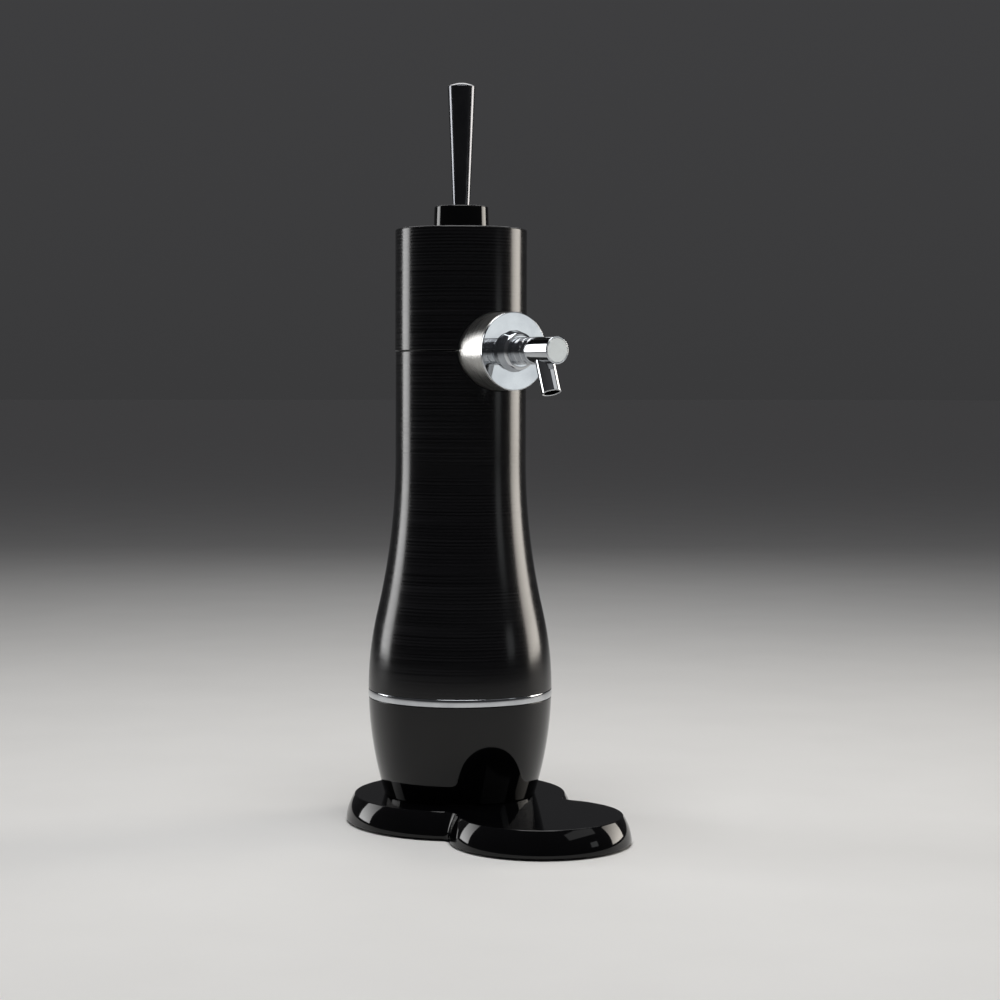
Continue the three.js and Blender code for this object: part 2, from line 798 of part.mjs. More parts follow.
const plateRear = spout.face - spout.plate;
const stemRoom = horn.stem + fit;
const hubRear = spout.face + touch;
const hubEnd = hubRear + hub.length;
const sleeveRear = hubEnd + touch;
const barrelRear = sleeve.end + touch;

function spoutHousing() {
  const inside = spout.radius - spout.wall;
  const front = plateRear - touch;
  const points = [
    [spout.tubeHole, spout.rear],
    [spout.radius, spout.rear],
    [spout.radius, front],
    [inside, front],
    [inside, spout.rear + spout.wall],
    [spout.tubeHole, spout.rear + spout.wall],
  ];
  return turned(points, sides.large);
}

function faceplate() {
  const points = [
    [stemRoom, plateRear],
    [spout.radius, plateRear],
    [spout.radius, spout.face - spout.plateEdge],
    [spout.radius - spout.plateEdge, spout.face],
    [stemRoom, spout.face],
  ];
  return turned(points, sides.large);
}

function spoutHub() {
  const points = [
    [stemRoom, hubRear],
    [hub.radius, hubRear],
    ...arcPoints(hub.nose - hub.round, hubEnd - hub.round, hub.round, 0, 90, steps.round),
    [stemRoom, hubEnd],
  ];
  return turned(points, sides.medium);
}

function ribbedSleeve() {
  const half = sleeve.grooveWidth / 2;
  const grooves = sleeve.grooves.flatMap((place) => [
    [sleeve.radius, place - half],
    [sleeve.radius - sleeve.grooveDepth, place - half / 2],
    [sleeve.radius - sleeve.grooveDepth, place + half / 2],
    [sleeve.radius, place + half],
  ]);
  const points = [
    [stemRoom, sleeveRear],
    [sleeve.radius, sleeveRear],
    ...grooves,
    [sleeve.radius, sleeve.end],
    [stemRoom, sleeve.end],
  ];
  return turned(points, sides.medium);
}

// A solid along the nozzle's axis, in the spout's group.
function onNozzleAxis(made) {
  return made.rotate([90 - nozzle.tilt, 0, 0]).translate(0, 0, nozzle.at);
}

function barrelSolid() {
  const recess = barrel.capRadius + fit / 2;
  const recessFloor = barrel.end - barrel.cap - touch;
  const points = [
    [0, barrel.boreEnd],
    [barrel.bore, barrel.boreEnd],
    [barrel.bore, barrelRear],
    [sleeve.radius, barrelRear],
    [sleeve.radius, barrel.end - barrel.edge],
    [sleeve.radius - barrel.edge, barrel.end],
    [recess, barrel.end],
    [recess, recessFloor],
    [0, recessFloor],
  ];
  const room = bar(nozzle.radius + fit, nozzle.start - fit, nozzle.length, sides.medium);
  return cut(turned(points, sides.medium), onNozzleAxis(room));
}

const nozzlePipe = pipe(nozzle.bore, nozzle.radius, nozzle.start, nozzle.length, sides.medium);
const capSolid = bar(barrel.capRadius, barrel.end - barrel.cap, barrel.end, sides.medium);
const massEnd = transducer.start + transducer.massLength;
const piezoStart = massEnd + touch;
const piezoEnd = piezoStart + transducer.piezoLength;
const massSolid = pipe(horn.bore, horn.radius, transducer.start, massEnd, sides.small);
const piezoSolid = pipe(transducer.piezoBore, transducer.piezoRadius, piezoStart, piezoEnd, sides.small);

function ultrasonicHorn() {
  const rear = piezoEnd + touch;
  const flangeFront = plateRear - touch;
  const flangeRear = flangeFront - horn.flange;
  const flangeRadius = spout.radius - spout.wall - fit;
  const tip = sleeve.end - fit;
  const points = [
    [horn.bore, rear],
    [horn.radius, rear],
    [horn.radius, horn.waist],
    [horn.stem, flangeRear],
    [flangeRadius, flangeRear],
    [flangeRadius, flangeFront],
    [horn.stem, flangeFront],
    [horn.stem, tip],
    [horn.bore, tip],
  ];
  return turned(points, sides.medium);
}

spoutGroup.add(
  piece("spout_housing", spoutHousing(), finishes.brushedSteel),
  piece("faceplate", faceplate(), finishes.chrome),
  piece("spout_hub", spoutHub(), finishes.chrome),
  piece("ribbed_sleeve", ribbedSleeve(), finishes.chrome),
  piece("barrel", barrelSolid(), finishes.chrome),
  piece("nozzle", onNozzleAxis(nozzlePipe), finishes.chrome),
  piece("barrel_cap", capSolid, finishes.brushedSteel),
  piece("transducer_mass", massSolid, finishes.zinc),
  piece("piezo_rings", piezoSolid, finishes.ceramic),
  piece("ultrasonic_horn", ultrasonicHorn(), finishes.brushedSteel),
);

// The drink's way: inlet fitting, suction tube and the tube through the pump
const fittingBottom = chassisBottom - fitting.drop;
const flangeTop = chassisTop + touch + fitting.flangeHeight;

function inletFitting() {
  const socket = tube.radius + fit;
  const points = [
    [fitting.bore, fittingBottom + fitting.socketDepth],
    [socket, fittingBottom + fitting.socketDepth],
    [socket, fittingBottom],
    [fitting.stem, fittingBottom],
    [fitting.stem, chassisTop + touch],
    [fitting.flange, chassisTop + touch],
    [fitting.flange, flangeTop],
    [fitting.barb, flangeTop],
    [fitting.barb, flangeTop + fitting.barbLength],
    [fitting.bore, flangeTop + fitting.barbLength],
  ];
  return turned(points, sides.small);
}

// The pump's tube rises from the fitting, goes half round the rollers, comes down and bends forwards.
function pumpTube() {
  const route = [new THREE.Vector3(0, 0, flangeTop + fit)];
  const addArc = (y, z, radius, from, to, count) => {
    for (let index = 0; index <= count; index += 1) {
      const angle = THREE.MathUtils.degToRad(from + ((to - from) * index) / count);
      route.push(new THREE.Vector3(0, y + radius * Math.cos(angle), z + radius * Math.sin(angle)));
    }
  };
  const bend = tube.bendRadius;
  addArc(pumpY, pumpHeight, pump.track, 0, 180, steps.pumpBend);
  addArc(pumpY - pump.track - bend, spoutHeight + bend, bend, 0, -90, steps.spoutBend);
  route.push(new THREE.Vector3(0, -transducer.start + fit, spoutHeight));
  const curve = new THREE.CatmullRomCurve3(route, false, "chordal");
  const section = new THREE.Shape().absarc(0, 0, tube.radius, 0, 2 * Math.PI);
  section.holes.push(new THREE.Path().absarc(0, 0, tube.bore, 0, 2 * Math.PI));
  const options = {
    steps: steps.tubeLength,
    curveSegments: steps.tubeRound,
    bevelEnabled: false,
    extrudePath: curve,
  };
  return solid(new THREE.ExtrudeGeometry(section, options));
}

const dipTop = fittingBottom + fitting.socketDepth - fit;
const dipTube = pipe(tube.bore, tube.radius, padTop + tube.dipGap, dipTop, sides.small);
headGroup.add(
  piece("inlet_fitting", inletFitting(), finishes.nylon),
  piece("suction_tube", dipTube, finishes.silicone),
  piece("pump_tube", pumpTube(), finishes.silicone),
);

// The pump, in its own group: X runs backwards, Y up and Z along the axle
const pumpGroup = new THREE.Group();
pumpGroup.position.set(0, pumpY, pumpHeight);
pumpGroup.rotation.set(Math.PI / 2, Math.PI / 2, 0);
headGroup.add(pumpGroup);

const halfInside = pump.inside / 2;
const plateEnd = halfInside + pump.plate;
const coverEnd = -halfInside - touch;
const pumpFoot = chassisTop + touch - pumpHeight;

// The pump's outline: round on top, a straight back down to its foot, and a shorter front.
function pumpOutline() {
  const footFront = pump.track - chassis.frontEdge;
  return new THREE.Shape()
    .moveTo(footFront, pumpFoot)
    .lineTo(pumpOuter, pumpFoot)
    .lineTo(pumpOuter, 0)
    .absarc(0, 0, pumpOuter, 0, Math.PI)
    .lineTo(-pumpOuter, -pump.frontDrop);
}

function pumpHousing() {
  const inner = pumpOuter - pump.wall;
  const track = new THREE.Shape()
    .moveTo(-inner, pumpFoot - overrun)
    .lineTo(inner, pumpFoot - overrun)
    .lineTo(inner, 0)
    .absarc(0, 0, inner, 0, Math.PI);
  const bearing = bar(pump.axle + fit, halfInside - overrun, plateEnd + overrun, sides.tiny);
  const flangeRoom = bar(fitting.flange + fit, -overrun, fitting.flangeHeight + fit, sides.small)
    .rotate([-90, 0, 0])
    .translate(pump.track, pumpFoot, 0);
  return cut(
    raised(pumpOutline(), -halfInside, plateEnd, steps.pumpRound),
    raised(track, -halfInside - overrun, halfInside, steps.pumpRound),
    bearing,
    flangeRoom,
  );
}

function pumpCover() {
  const outside = coverEnd - pump.cover;
  const bearing = bar(pump.axle + fit, outside - overrun, coverEnd + overrun, sides.tiny);
  return cut(raised(pumpOutline(), outside, coverEnd, steps.pumpRound), bearing);
}

// The places of the rollers' pins round the axle.
const rollerPlaces = Array.from({ length: pump.rollers }, (_, index) => {
  const angle = (2 * Math.PI * index) / pump.rollers;
  return [rollerOrbit * Math.cos(angle), rollerOrbit * Math.sin(angle)];
});

function pumpRotor() {
  const halfRoller = pump.rollerLength / 2;
  const carrierStart = halfRoller + fit;
  const carrierMiddle = carrierStart + pump.carrierThickness / 2;
  const carrierEnd = carrierStart + pump.carrierThickness;
  const pins = rollerPlaces.map(([x, y]) => {
    return bar(pump.rollerPin, -halfRoller, carrierMiddle, sides.tiny).translate(x, y, 0);
  });
  return join(
    bar(pump.axle, coverEnd - pump.cover, plateEnd + motor.shaftLength, sides.tiny),
    bar(pump.axleHub, -halfRoller, carrierMiddle, sides.tiny),
    bar(rollerOrbit + 2 * pump.rollerPin, carrierStart, carrierEnd, sides.small),
    ...pins,
  );
}

function motorSolid() {
  const start = plateEnd + touch;
  const boreEnd = plateEnd + motor.shaftLength + fit;
  const end = start + motor.length;
  const points = [
    [0, boreEnd],
    [pump.axle + fit, boreEnd],
    [pump.axle + fit, start],
    [motor.radius, start],
    [motor.radius, end],
    [motor.capRadius, end],
    [motor.capRadius, end + motor.cap],
    [0, end + motor.cap],
  ];
  return turned(points, sides.small);
}

pumpGroup.add(
  piece("pump_housing", pumpHousing(), finishes.nylon),
  piece("pump_cover", pumpCover(), finishes.nylon),
  piece("pump_rotor", pumpRotor(), finishes.brushedSteel),
  piece("pump_motor", motorSolid(), finishes.zinc),
);
rollerPlaces.forEach(([x, y], index) => {
  const half = pump.rollerLength / 2;
  const roller = piece(
    `pump_roller_${index + 1}`,
    pipe(pump.rollerBore, pump.roller, -half, half, sides.small),
    finishes.nylon,
  );
  roller.position.set(x, y, 0);
  pumpGroup.add(roller);
});

// The control board and its two switches
const controlBoard = block(
  [-board.width / 2, -board.front, boardBottom],
  [board.width / 2, board.back, boardTop],
);

function switchSolid() {
  const half = tapSwitch.width / 2;
  const bottom = boardTop + touch;
  const body = block([-half, -half, bottom], [half, half, bottom + tapSwitch.height]);
  return join(body, bar(tapSwitch.button, bottom + tapSwitch.height / 2, switchTop, sides.tiny));
}

headGroup.add(piece("control_board", controlBoard, finishes.circuitBoard));

// The plungers' bracket, hung under the head's top
function leverBracket() {
  const inner = lever.rockerWidth / 2 + bracket.gap;
  const outer = inner + bracket.wall;
  const bottom = bracketFloorTop - bracket.floor;
  const top = bracketTop;
  const long = bracket.length / 2;
  const floor = block([-outer, -long, bottom], [outer, long, bracketFloorTop]);
  const half = bracket.earLength / 2;
  const earEnd = outer + bracket.earWidth;
  const ears = block([-earEnd, -half, top - bracket.earThickness], [earEnd, half, top]);
  const walls = block([-outer, -long, bottom], [outer, long, top]);
  const roomEnd = long + overrun;
  const room = block([-inner, -roomEnd, bracketFloorTop], [inner, roomEnd, top + overrun]);
  const bores = [-1, 1].map((side) => {
    const bore = bar(plunger.radius + fit, bottom - overrun, bracketFloorTop + overrun, sides.small);
    return bore.translate(0, side * plunger.offset, 0);
  });
  const earBores = collarBores(top - bracket.earThickness - overrun, top + overrun);
  return cut(join(floor, walls, ears), room, ...bores, ...earBores);
}

function plungerSolid() {
  const headBottomHeight = plungerTop - plunger.headHeight;
  const dome = plunger.domeRadius;
  const domeEdge = THREE.MathUtils.radToDeg(Math.acos(plunger.headRadius / dome));
  const points = [
    [0, plungerBottom],
    [plunger.radius, plungerBottom],
    [plunger.radius, headBottomHeight],
    [plunger.headRadius, headBottomHeight],
    ...arcPoints(0, plungerTop - dome, dome, domeEdge, 90, steps.round).slice(0, -1),
    [0, plungerTop],
  ];
  return turned(points, sides.small);
}

headGroup.add(piece("lever_bracket", leverBracket(), finishes.zinc));
const springBottom = bracketFloorTop + fit;
for (const [place, side] of [["front", -1], ["rear", 1]]) {
  const spring = pipe(plunger.radius + fit, plunger.headRadius, springBottom, springTop, sides.small);
  const pieces = [
    piece(`tap_switch_${place}`, switchSolid(), finishes.innerBlack),
    piece(`plunger_${place}`, plungerSolid(), finishes.nylon),
    piece(`plunger_spring_${place}`, spring, finishes.brushedSteel),
  ];
  for (const one of pieces) {
    one.position.y = side * plunger.offset;
    headGroup.add(one);
  }
}

// The lever, in its own group at the pivot, with its handle and pin
const leverGroup = new THREE.Group();
leverGroup.position.set(0, 0, pivotHeight);
headGroup.add(leverGroup);

function leverStem() {
  const flat = lever.pivotDepth - touch;
  const from = -THREE.MathUtils.radToDeg(Math.acos(lever.stem / lever.ball));
  const to = THREE.MathUtils.radToDeg(Math.asin(flat / lever.ball));
  const stemBottom = lever.rocker / 2 - lever.rockerDrop;
  const points = [
    [0, stemBottom],
    [lever.stem, stemBottom],
    ...arcPoints(0, 0, lever.ball, from, to, steps.ball),
    [lever.stud, flat],
    [lever.stud, flat + lever.studLength],
    [0, flat + lever.studLength],
  ];
  const rocker = block(
    [-lever.rockerWidth / 2, -lever.rockerLength / 2, -lever.rockerDrop],
    [lever.rockerWidth / 2, lever.rockerLength / 2, lever.rocker - lever.rockerDrop],
  );
  const bore = crossBar(pin.radius + fit, 2 * lever.ball + overrun, sides.small);
  return cut(join(turned(points, sides.medium), rocker), bore);
}

function handleSolid() {
  const bottom = lever.pivotDepth;
  const top = bottom + handle.length;
  const bore = lever.stud + fit;
  const boreTop = bottom + lever.studLength + fit;
  const domeRadius = (handle.topRadius ** 2 + handle.dome ** 2) / (2 * handle.dome);
  const domeCentre = top - domeRadius;
  const rim = THREE.MathUtils.radToDeg(Math.acos(handle.topRadius / domeRadius));
  const points = [
    [0, boreTop],
    [bore, boreTop],
    [bore, bottom],
    [handle.bottomRadius, bottom],
    ...arcPoints(0, domeCentre, domeRadius, rim, 90, steps.dome).slice(0, -1),
    [0, top],
  ];
  return turned(points, sides.medium);
}

leverGroup.add(
  piece("lever_stem", leverStem(), finishes.brushedSteel),
  piece("handle", handleSolid(), finishes.glossBlack),
  piece("lever_pin", crossBar(pin.radius, pin.length, sides.small), finishes.brushedSteel),
);

export default product;
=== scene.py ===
# The looks of the ultrasonic beer pourer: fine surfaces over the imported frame, and its finishes.
# Shapes are worked out in millimetres and go into the meshes in metres.
import bpy
import math
import numpy as np
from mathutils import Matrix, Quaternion, Vector


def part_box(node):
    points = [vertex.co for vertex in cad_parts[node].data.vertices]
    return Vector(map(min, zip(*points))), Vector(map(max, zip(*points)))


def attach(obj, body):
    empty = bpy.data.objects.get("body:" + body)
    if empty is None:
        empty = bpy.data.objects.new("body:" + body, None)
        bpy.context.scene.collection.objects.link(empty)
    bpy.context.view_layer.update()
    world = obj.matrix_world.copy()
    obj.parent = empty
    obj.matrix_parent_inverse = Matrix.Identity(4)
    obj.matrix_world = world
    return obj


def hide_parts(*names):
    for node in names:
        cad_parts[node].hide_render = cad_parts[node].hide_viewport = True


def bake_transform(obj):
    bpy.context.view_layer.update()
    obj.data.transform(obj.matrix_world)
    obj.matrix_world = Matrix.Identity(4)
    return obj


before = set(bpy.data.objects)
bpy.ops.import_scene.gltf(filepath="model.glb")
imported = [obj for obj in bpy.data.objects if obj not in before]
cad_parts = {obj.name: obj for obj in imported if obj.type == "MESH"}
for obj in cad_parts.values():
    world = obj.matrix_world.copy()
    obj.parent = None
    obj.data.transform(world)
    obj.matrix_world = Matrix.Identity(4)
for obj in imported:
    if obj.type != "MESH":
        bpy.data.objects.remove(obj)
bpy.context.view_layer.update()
scene = bpy.context.scene

# The sizes that the solids were made to, in millimetres
TOWER_Y, GLASS_Y = 41.5, -61.0
TOWER_LOBE, GLASS_LOBE, WAIST_FILLET = 84.0, 64.5, 6.0
FOOT_TOP, FOOT_BOTTOM, FOOT_CURVE = 20.0, 1.5, 34.5
NECK, HIP, HEAD = 48.1, 67.7, 48.5
WAIST_HEIGHT, HIP_HEIGHT, NECK_SHARE, CUP_CURVE = 268.0, 99.5, 0.671, 265.0
RING_BOTTOM, RING_TOP = 92.4, 97.9
BODY_TOP, HEAD_BOTTOM, HEAD_TOP = 346.1, 346.9, 436.0
WALL = 2.5
SPOUT_HEIGHT, SPOUT_RADIUS, SPOUT_GAP = 346.0, 28.1, 0.4
COLLAR_TOP, PIVOT = 453.0, 444.5
SPIGOT_TOP = 104.0
HORN_HOLE, SLEEVE_RADIUS = 6.3, 9.7

# How finely a surface is drawn: the columns round a piece, and the radius that breaks a sharp edge
ROUND_COLUMNS = 192
EDGE_BREAK = 0.08


# Surfaces

def rounded(corners, steps=6, closed=False):
    """A profile with its corners rounded. Each corner is (across, along, round). An arc tangent to both
    edges replaces it, from the tangent point before it to the one after, in equal turns about its centre,
    with one more point on each edge beside the arc so that the flat parts shade flat. A sharp corner with
    no round of its own is broken by EDGE_BREAK, and one that turns by under 20 degrees, as on a smooth
    curve, stays a point."""
    corners = [tuple(corner) + (0.0,) * (3 - len(corner)) for corner in corners]
    count, points = len(corners), []
    for number, (across, along, bend) in enumerate(corners):
        here = np.array([across, along])
        if not closed and number in (0, count - 1):
            points.append(here[None])
            continue
        before = np.array(corners[number - 1][:2]) - here
        after = np.array(corners[(number + 1) % count][:2]) - here
        reach = [np.linalg.norm(before), np.linalg.norm(after)]
        before, after = before / reach[0], after / reach[1]
        half = math.acos(np.clip(before @ after, -1, 1)) / 2
        if not bend and half > math.radians(80):
            points.append(here[None])
            continue
        bend = bend or EDGE_BREAK
        tangent = bend / math.tan(half)
        middle = (before + after) / np.linalg.norm(before + after)
        centre = here + middle * bend / math.sin(half)
        start, end = here + before * tangent, here + after * tangent
        first = math.atan2(*(start - centre)[::-1])
        turn = math.atan2(*(end - centre)[::-1]) - first
        turn = (turn + math.pi) % (2 * math.pi) - math.pi
        angle = first + turn * np.linspace(0, 1, steps + 1)
        arc = centre + bend * np.stack([np.cos(angle), np.sin(angle)], -1)
        beside = [min(0.4 * bend, 0.3 * max(length - tangent, 0)) for length in reach]
        points += [(start + before * beside[0])[None], arc, (end + after * beside[1])[None]]
    return np.concatenate(points)


def revolved(profile, columns=ROUND_COLUMNS):
    """A grid of points: the profile's first number goes round +Z from -Y towards +X as (r sin a, -r cos a),
    and its second is the height."""
    angle = np.linspace(0, 2 * math.pi, columns, endpoint=False)
    across, along = np.asarray(profile, float).T[..., None]
    flat = np.ones_like(angle)
    return np.stack([across * np.sin(angle), -across * np.cos(angle), along * flat], -1)


def moved(grid, x=0.0, y=0.0, z=0.0):
    """The grid shifted by x, y and z."""
    return grid + np.array([x, y, z])


def tipped(grid, degrees):
    """The grid turned about the X axis: y' = y cos - z sin and z' = y sin + z cos."""
    turn = math.radians(degrees)
    x, y, z = np.moveaxis(grid, -1, 0)
    return np.stack([x, y * math.cos(turn) - z * math.sin(turn), y * math.sin(turn) + z * math.cos(turn)], -1)


def on_spout(grid):
    """The grid carried from its own +Z to the spout's axis, which runs to -Y from the tower's axis."""
    return moved(tipped(grid, 90), y=TOWER_Y, z=SPOUT_HEIGHT)


def tower_radius(height):
    """The tower's radius at each height: the neck, then a hollow arc from the neck tangent to a bulging one
    that ends upright at the hip, and the cup's arc below the hip."""
    height = np.asarray(height, float)
    swell, rise = HIP - NECK, WAIST_HEIGHT - HIP_HEIGHT
    both = (swell**2 + rise**2) / (2 * swell)
    hollow, bulge = both * NECK_SHARE, both * (1 - NECK_SHARE)
    meet = WAIST_HEIGHT - rise * NECK_SHARE
    below_waist = np.clip(WAIST_HEIGHT - height, 0, hollow)
    from_hip = np.clip(height - HIP_HEIGHT, -CUP_CURVE, bulge)
    curve = np.where(height >= HIP_HEIGHT, bulge, CUP_CURVE)
    upper = NECK + hollow - np.sqrt(hollow**2 - below_waist**2)
    lower = HIP - curve + np.sqrt(curve**2 - from_hip**2)
    return np.where(height >= meet, upper, lower)


def skin(name, grid, around_rows=False):
    """A mesh of a grid whose columns close on themselves, and whose rows do too where around_rows is set.
    A row whose points all meet is one point, with triangles round it."""
    rows, columns = grid.shape[:2]
    index = np.arange(rows * columns).reshape(rows, columns)
    meets = np.ptp(grid, axis=1).max(axis=-1) < 1e-7
    index[meets] = index[meets, :1]
    low = index if around_rows else index[:-1]
    high = np.roll(index, -1, 0) if around_rows else index[1:]
    faces = np.stack([low, np.roll(low, -1, 1), np.roll(high, -1, 1), high], -1).reshape(-1, 4)
    low_point, high_point = faces[:, 0] == faces[:, 1], faces[:, 2] == faces[:, 3]
    used, order = np.unique(faces, return_inverse=True)
    faces = order.reshape(-1, 4)
    made = faces[~(low_point | high_point)].tolist()
    made += faces[low_point][:, [0, 2, 3]].tolist() + faces[high_point & ~low_point][:, :3].tolist()
    mesh = bpy.data.meshes.new(name)
    mesh.from_pydata((grid.reshape(-1, 3)[used] / 1000).tolist(), [], made)
    mesh.polygons.foreach_set("use_smooth", np.ones(len(mesh.polygons), bool))
    mesh.update()
    piece = bpy.data.objects.new(name, mesh)
    scene.collection.objects.link(piece)
    return piece


def dressed(piece, material, body, slot, *nodes):
    """The piece with its finish, on its body, in place of the CAD nodes it stands for."""
    piece.data.materials.append(material)
    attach(piece, body)
    if nodes:
        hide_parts(*nodes)
    return piece


# Finishes

def linear(code):
    """An sRGB hex colour as linear red, green, blue and alpha."""
    parts = [int(code[place:place + 2], 16) / 255 for place in (1, 3, 5)]
    return [part / 12.92 if part <= 0.04045 else ((part + 0.055) / 1.055) ** 2.4 for part in parts] + [1.0]


def add(tree, kind, settings=None, links=None):
    """Adds a node of a kind to a tree, with its settings by input or property, and its links by input."""
    node = tree.nodes.new("ShaderNode" + kind)
    for key, value in (settings or {}).items():
        if isinstance(key, int) or key in node.inputs:
            node.inputs[key].default_value = value
        else:
            setattr(node, key, value)
    for key, source in (links or {}).items():
        tree.links.new(source, node.inputs[key])
    return node


def blank(name, **constants):
    """An empty material of that name: its tree, its shader with constants on its own sockets, and the
    object's coordinates."""
    material = bpy.data.materials.new(name)
    material.use_nodes = True
    tree = material.node_tree
    tree.nodes.clear()
    shader = add(tree, "BsdfPrincipled", {key.replace("_", " "): value for key, value in constants.items()})
    tree.links.new(shader.outputs[0], add(tree, "OutputMaterial").inputs[0])
    return material, tree, shader, add(tree, "TexCoord").outputs["Object"]


def noise(tree, place, scale, detail=2.0, rough=0.5):
    """Noise whose pattern is drawn out by a scale along each axis, in patterns per metre."""
    spread = add(tree, "Mapping", {"Scale": scale}, {"Vector": place})
    return add(tree, "TexNoise", {"Scale": 1.0, "Detail": detail, "Roughness": rough},
               {"Vector": spread.outputs[0]}).outputs[0]


def ramp(tree, value, low, high, start=0.3, end=0.7):
    """The value between start and end carried evenly to low and high."""
    settings = {"From Min": start, "From Max": end, "To Min": low, "To Max": high}
    return add(tree, "MapRange", settings, {"Value": value}).outputs[0]


def tints(tree, value, *stops, blending="LINEAR"):
    """Colours along a value: each stop is its place and its sRGB hex."""
    node = add(tree, "ValToRGB", None, {"Fac": value})
    node.color_ramp.interpolation = blending
    marks = node.color_ramp.elements
    while len(marks) < len(stops):
        marks.new(0.5)
    for mark, (place, code) in zip(marks, stops):
        mark.position, mark.color = place, linear(code)
    return node.outputs[0]


def relief(tree, shader, height, depth, strength=1.0, under=None):
    """Bump of a height pattern, its depth in millimetres, on top of another bump if there is one."""
    links = {"Height": height}
    if under is not None:
        links["Normal"] = under
    bump = add(tree, "Bump", {"Strength": strength, "Distance": depth / 1000}, links).outputs[0]
    tree.links.new(bump, shader.inputs["Normal"])
    return bump


def feed(tree, shader, **links):
    """Links patterns to the shader's sockets by name."""
    for key, source in links.items():
        tree.links.new(source, shader.inputs[key.replace("_", " ")])


def gloss_abs(name):
    """Gloss ABS from a polished mould: near-black and mirror-like, with a very faint orange peel of 4 mm,
    and fine dust, drawn as specks of 0.7 mm, that dulls it in patches of about 45 mm."""
    material, tree, shader, place = blank(name, IOR=1.38)
    haze = noise(tree, place, (22, 22, 22), 4)
    specks = noise(tree, place, (1400, 1400, 1400), 1)
    feed(tree, shader, Base_Color=tints(tree, haze, (0.3, "#030304"), (0.75, "#070708")))
    dust = add(tree, "Math", {"operation": "MULTIPLY"}, {0: ramp(tree, specks, 0, 1, 0.62, 0.8), 1: haze})
    feed(tree, shader, Roughness=ramp(tree, dust.outputs[0], 0.05, 0.2, 0.0, 0.8))
    relief(tree, shader, noise(tree, place, (250, 250, 250), 1), 0.004, 0.5)
    return material


def brushed_black(name):
    """Black anodised aluminium, brushed round the tower before it was dyed: satin, with faint level lines in
    even bands 2.4 mm apart. Real lines are 0.1 mm apart, and are drawn 1.1 mm apart, as coarse as they need
    to show. The dyed oxide layer hides the metal, so it shades as a dark layer that isn't metallic."""
    material, tree, shader, place = blank(name, Metallic=0.0, IOR=1.4)
    hairs = noise(tree, place, (5, 5, 900), 1, 0.5)
    turn_per_unit, band = 20, 0.0024  # a wave texture turns 20 radians a unit, and a band is in metres
    pitch = 2 * math.pi / turn_per_unit / band
    level = add(tree, "Mapping", {"Scale": (5, 5, pitch)}, {"Vector": place})
    bands = add(tree, "TexWave", {"bands_direction": "Z", "Scale": 1.0, "Distortion": 1.2, "Detail": 1.0},
                {"Vector": level.outputs[0]}).outputs["Fac"]
    lines = add(tree, "Math", {"operation": "MULTIPLY_ADD", 1: 0.22}, {0: bands, 2: hairs}).outputs[0]
    cloud = noise(tree, place, (12, 12, 12), 3)
    feed(tree, shader, Base_Color=tints(tree, lines, (0.4, "#030304"), (0.9, "#161618")))
    worn = add(tree, "Math", {"operation": "MULTIPLY_ADD", 1: 0.4}, {0: cloud, 2: lines}).outputs[0]
    feed(tree, shader, Roughness=ramp(tree, worn, 0.15, 0.21, 0.55, 1.05))
    relief(tree, shader, lines, 0.008, 0.3)
    return material


def chrome_plate(name, light="#cfd2d5", dark="#bbbec2", rough=(0.03, 0.075), depth=0.0015):
    """Bright chrome plate, buffed: a near mirror with wiped patches of 17 mm and very faint buffing scratches
    along Y. Real ones are as fine as a hair, and are drawn 1.1 mm apart, as coarse as they need to show."""
    material, tree, shader, place = blank(name, Metallic=1.0)
    wiped = noise(tree, place, (60, 60, 60), 4)
    hairs = noise(tree, place, (900, 60, 900), 2)
    feed(tree, shader, Base_Color=tints(tree, wiped, (0.3, dark), (0.7, light)))
    both = add(tree, "Math", {"operation": "MULTIPLY_ADD", 1: 0.4}, {0: hairs, 2: wiped}).outputs[0]
    feed(tree, shader, Roughness=ramp(tree, both, *rough, 0.5, 0.95))
    relief(tree, shader, hairs, depth, 0.25)
    return material


def brushed_steel(name, scale, light="#d4d3d0", dark="#9b9a98", rough=(0.2, 0.4), depth=0.015):
    """A bare metal brushed, turned, drawn or rolled one way: fine bright and dark lines along the direction
    of the low scale, and a slow change of tone over a few centimetres. The high scale is the lines in a
    metre: 5000 draws them 0.2 mm apart."""
    material, tree, shader, place = blank(name, Metallic=1.0)
    lines = noise(tree, place, scale, 3, 0.65)
    cloud = noise(tree, place, (30, 30, 30), 3)
    both = add(tree, "Math", {"operation": "MULTIPLY_ADD", 1: 0.4}, {0: cloud, 2: lines}).outputs[0]
    feed(tree, shader, Base_Color=tints(tree, both, (0.5, dark), (0.9, light)))
    feed(tree, shader, Roughness=ramp(tree, lines, *rough))
    relief(tree, shader, lines, depth, 0.4)
    return material


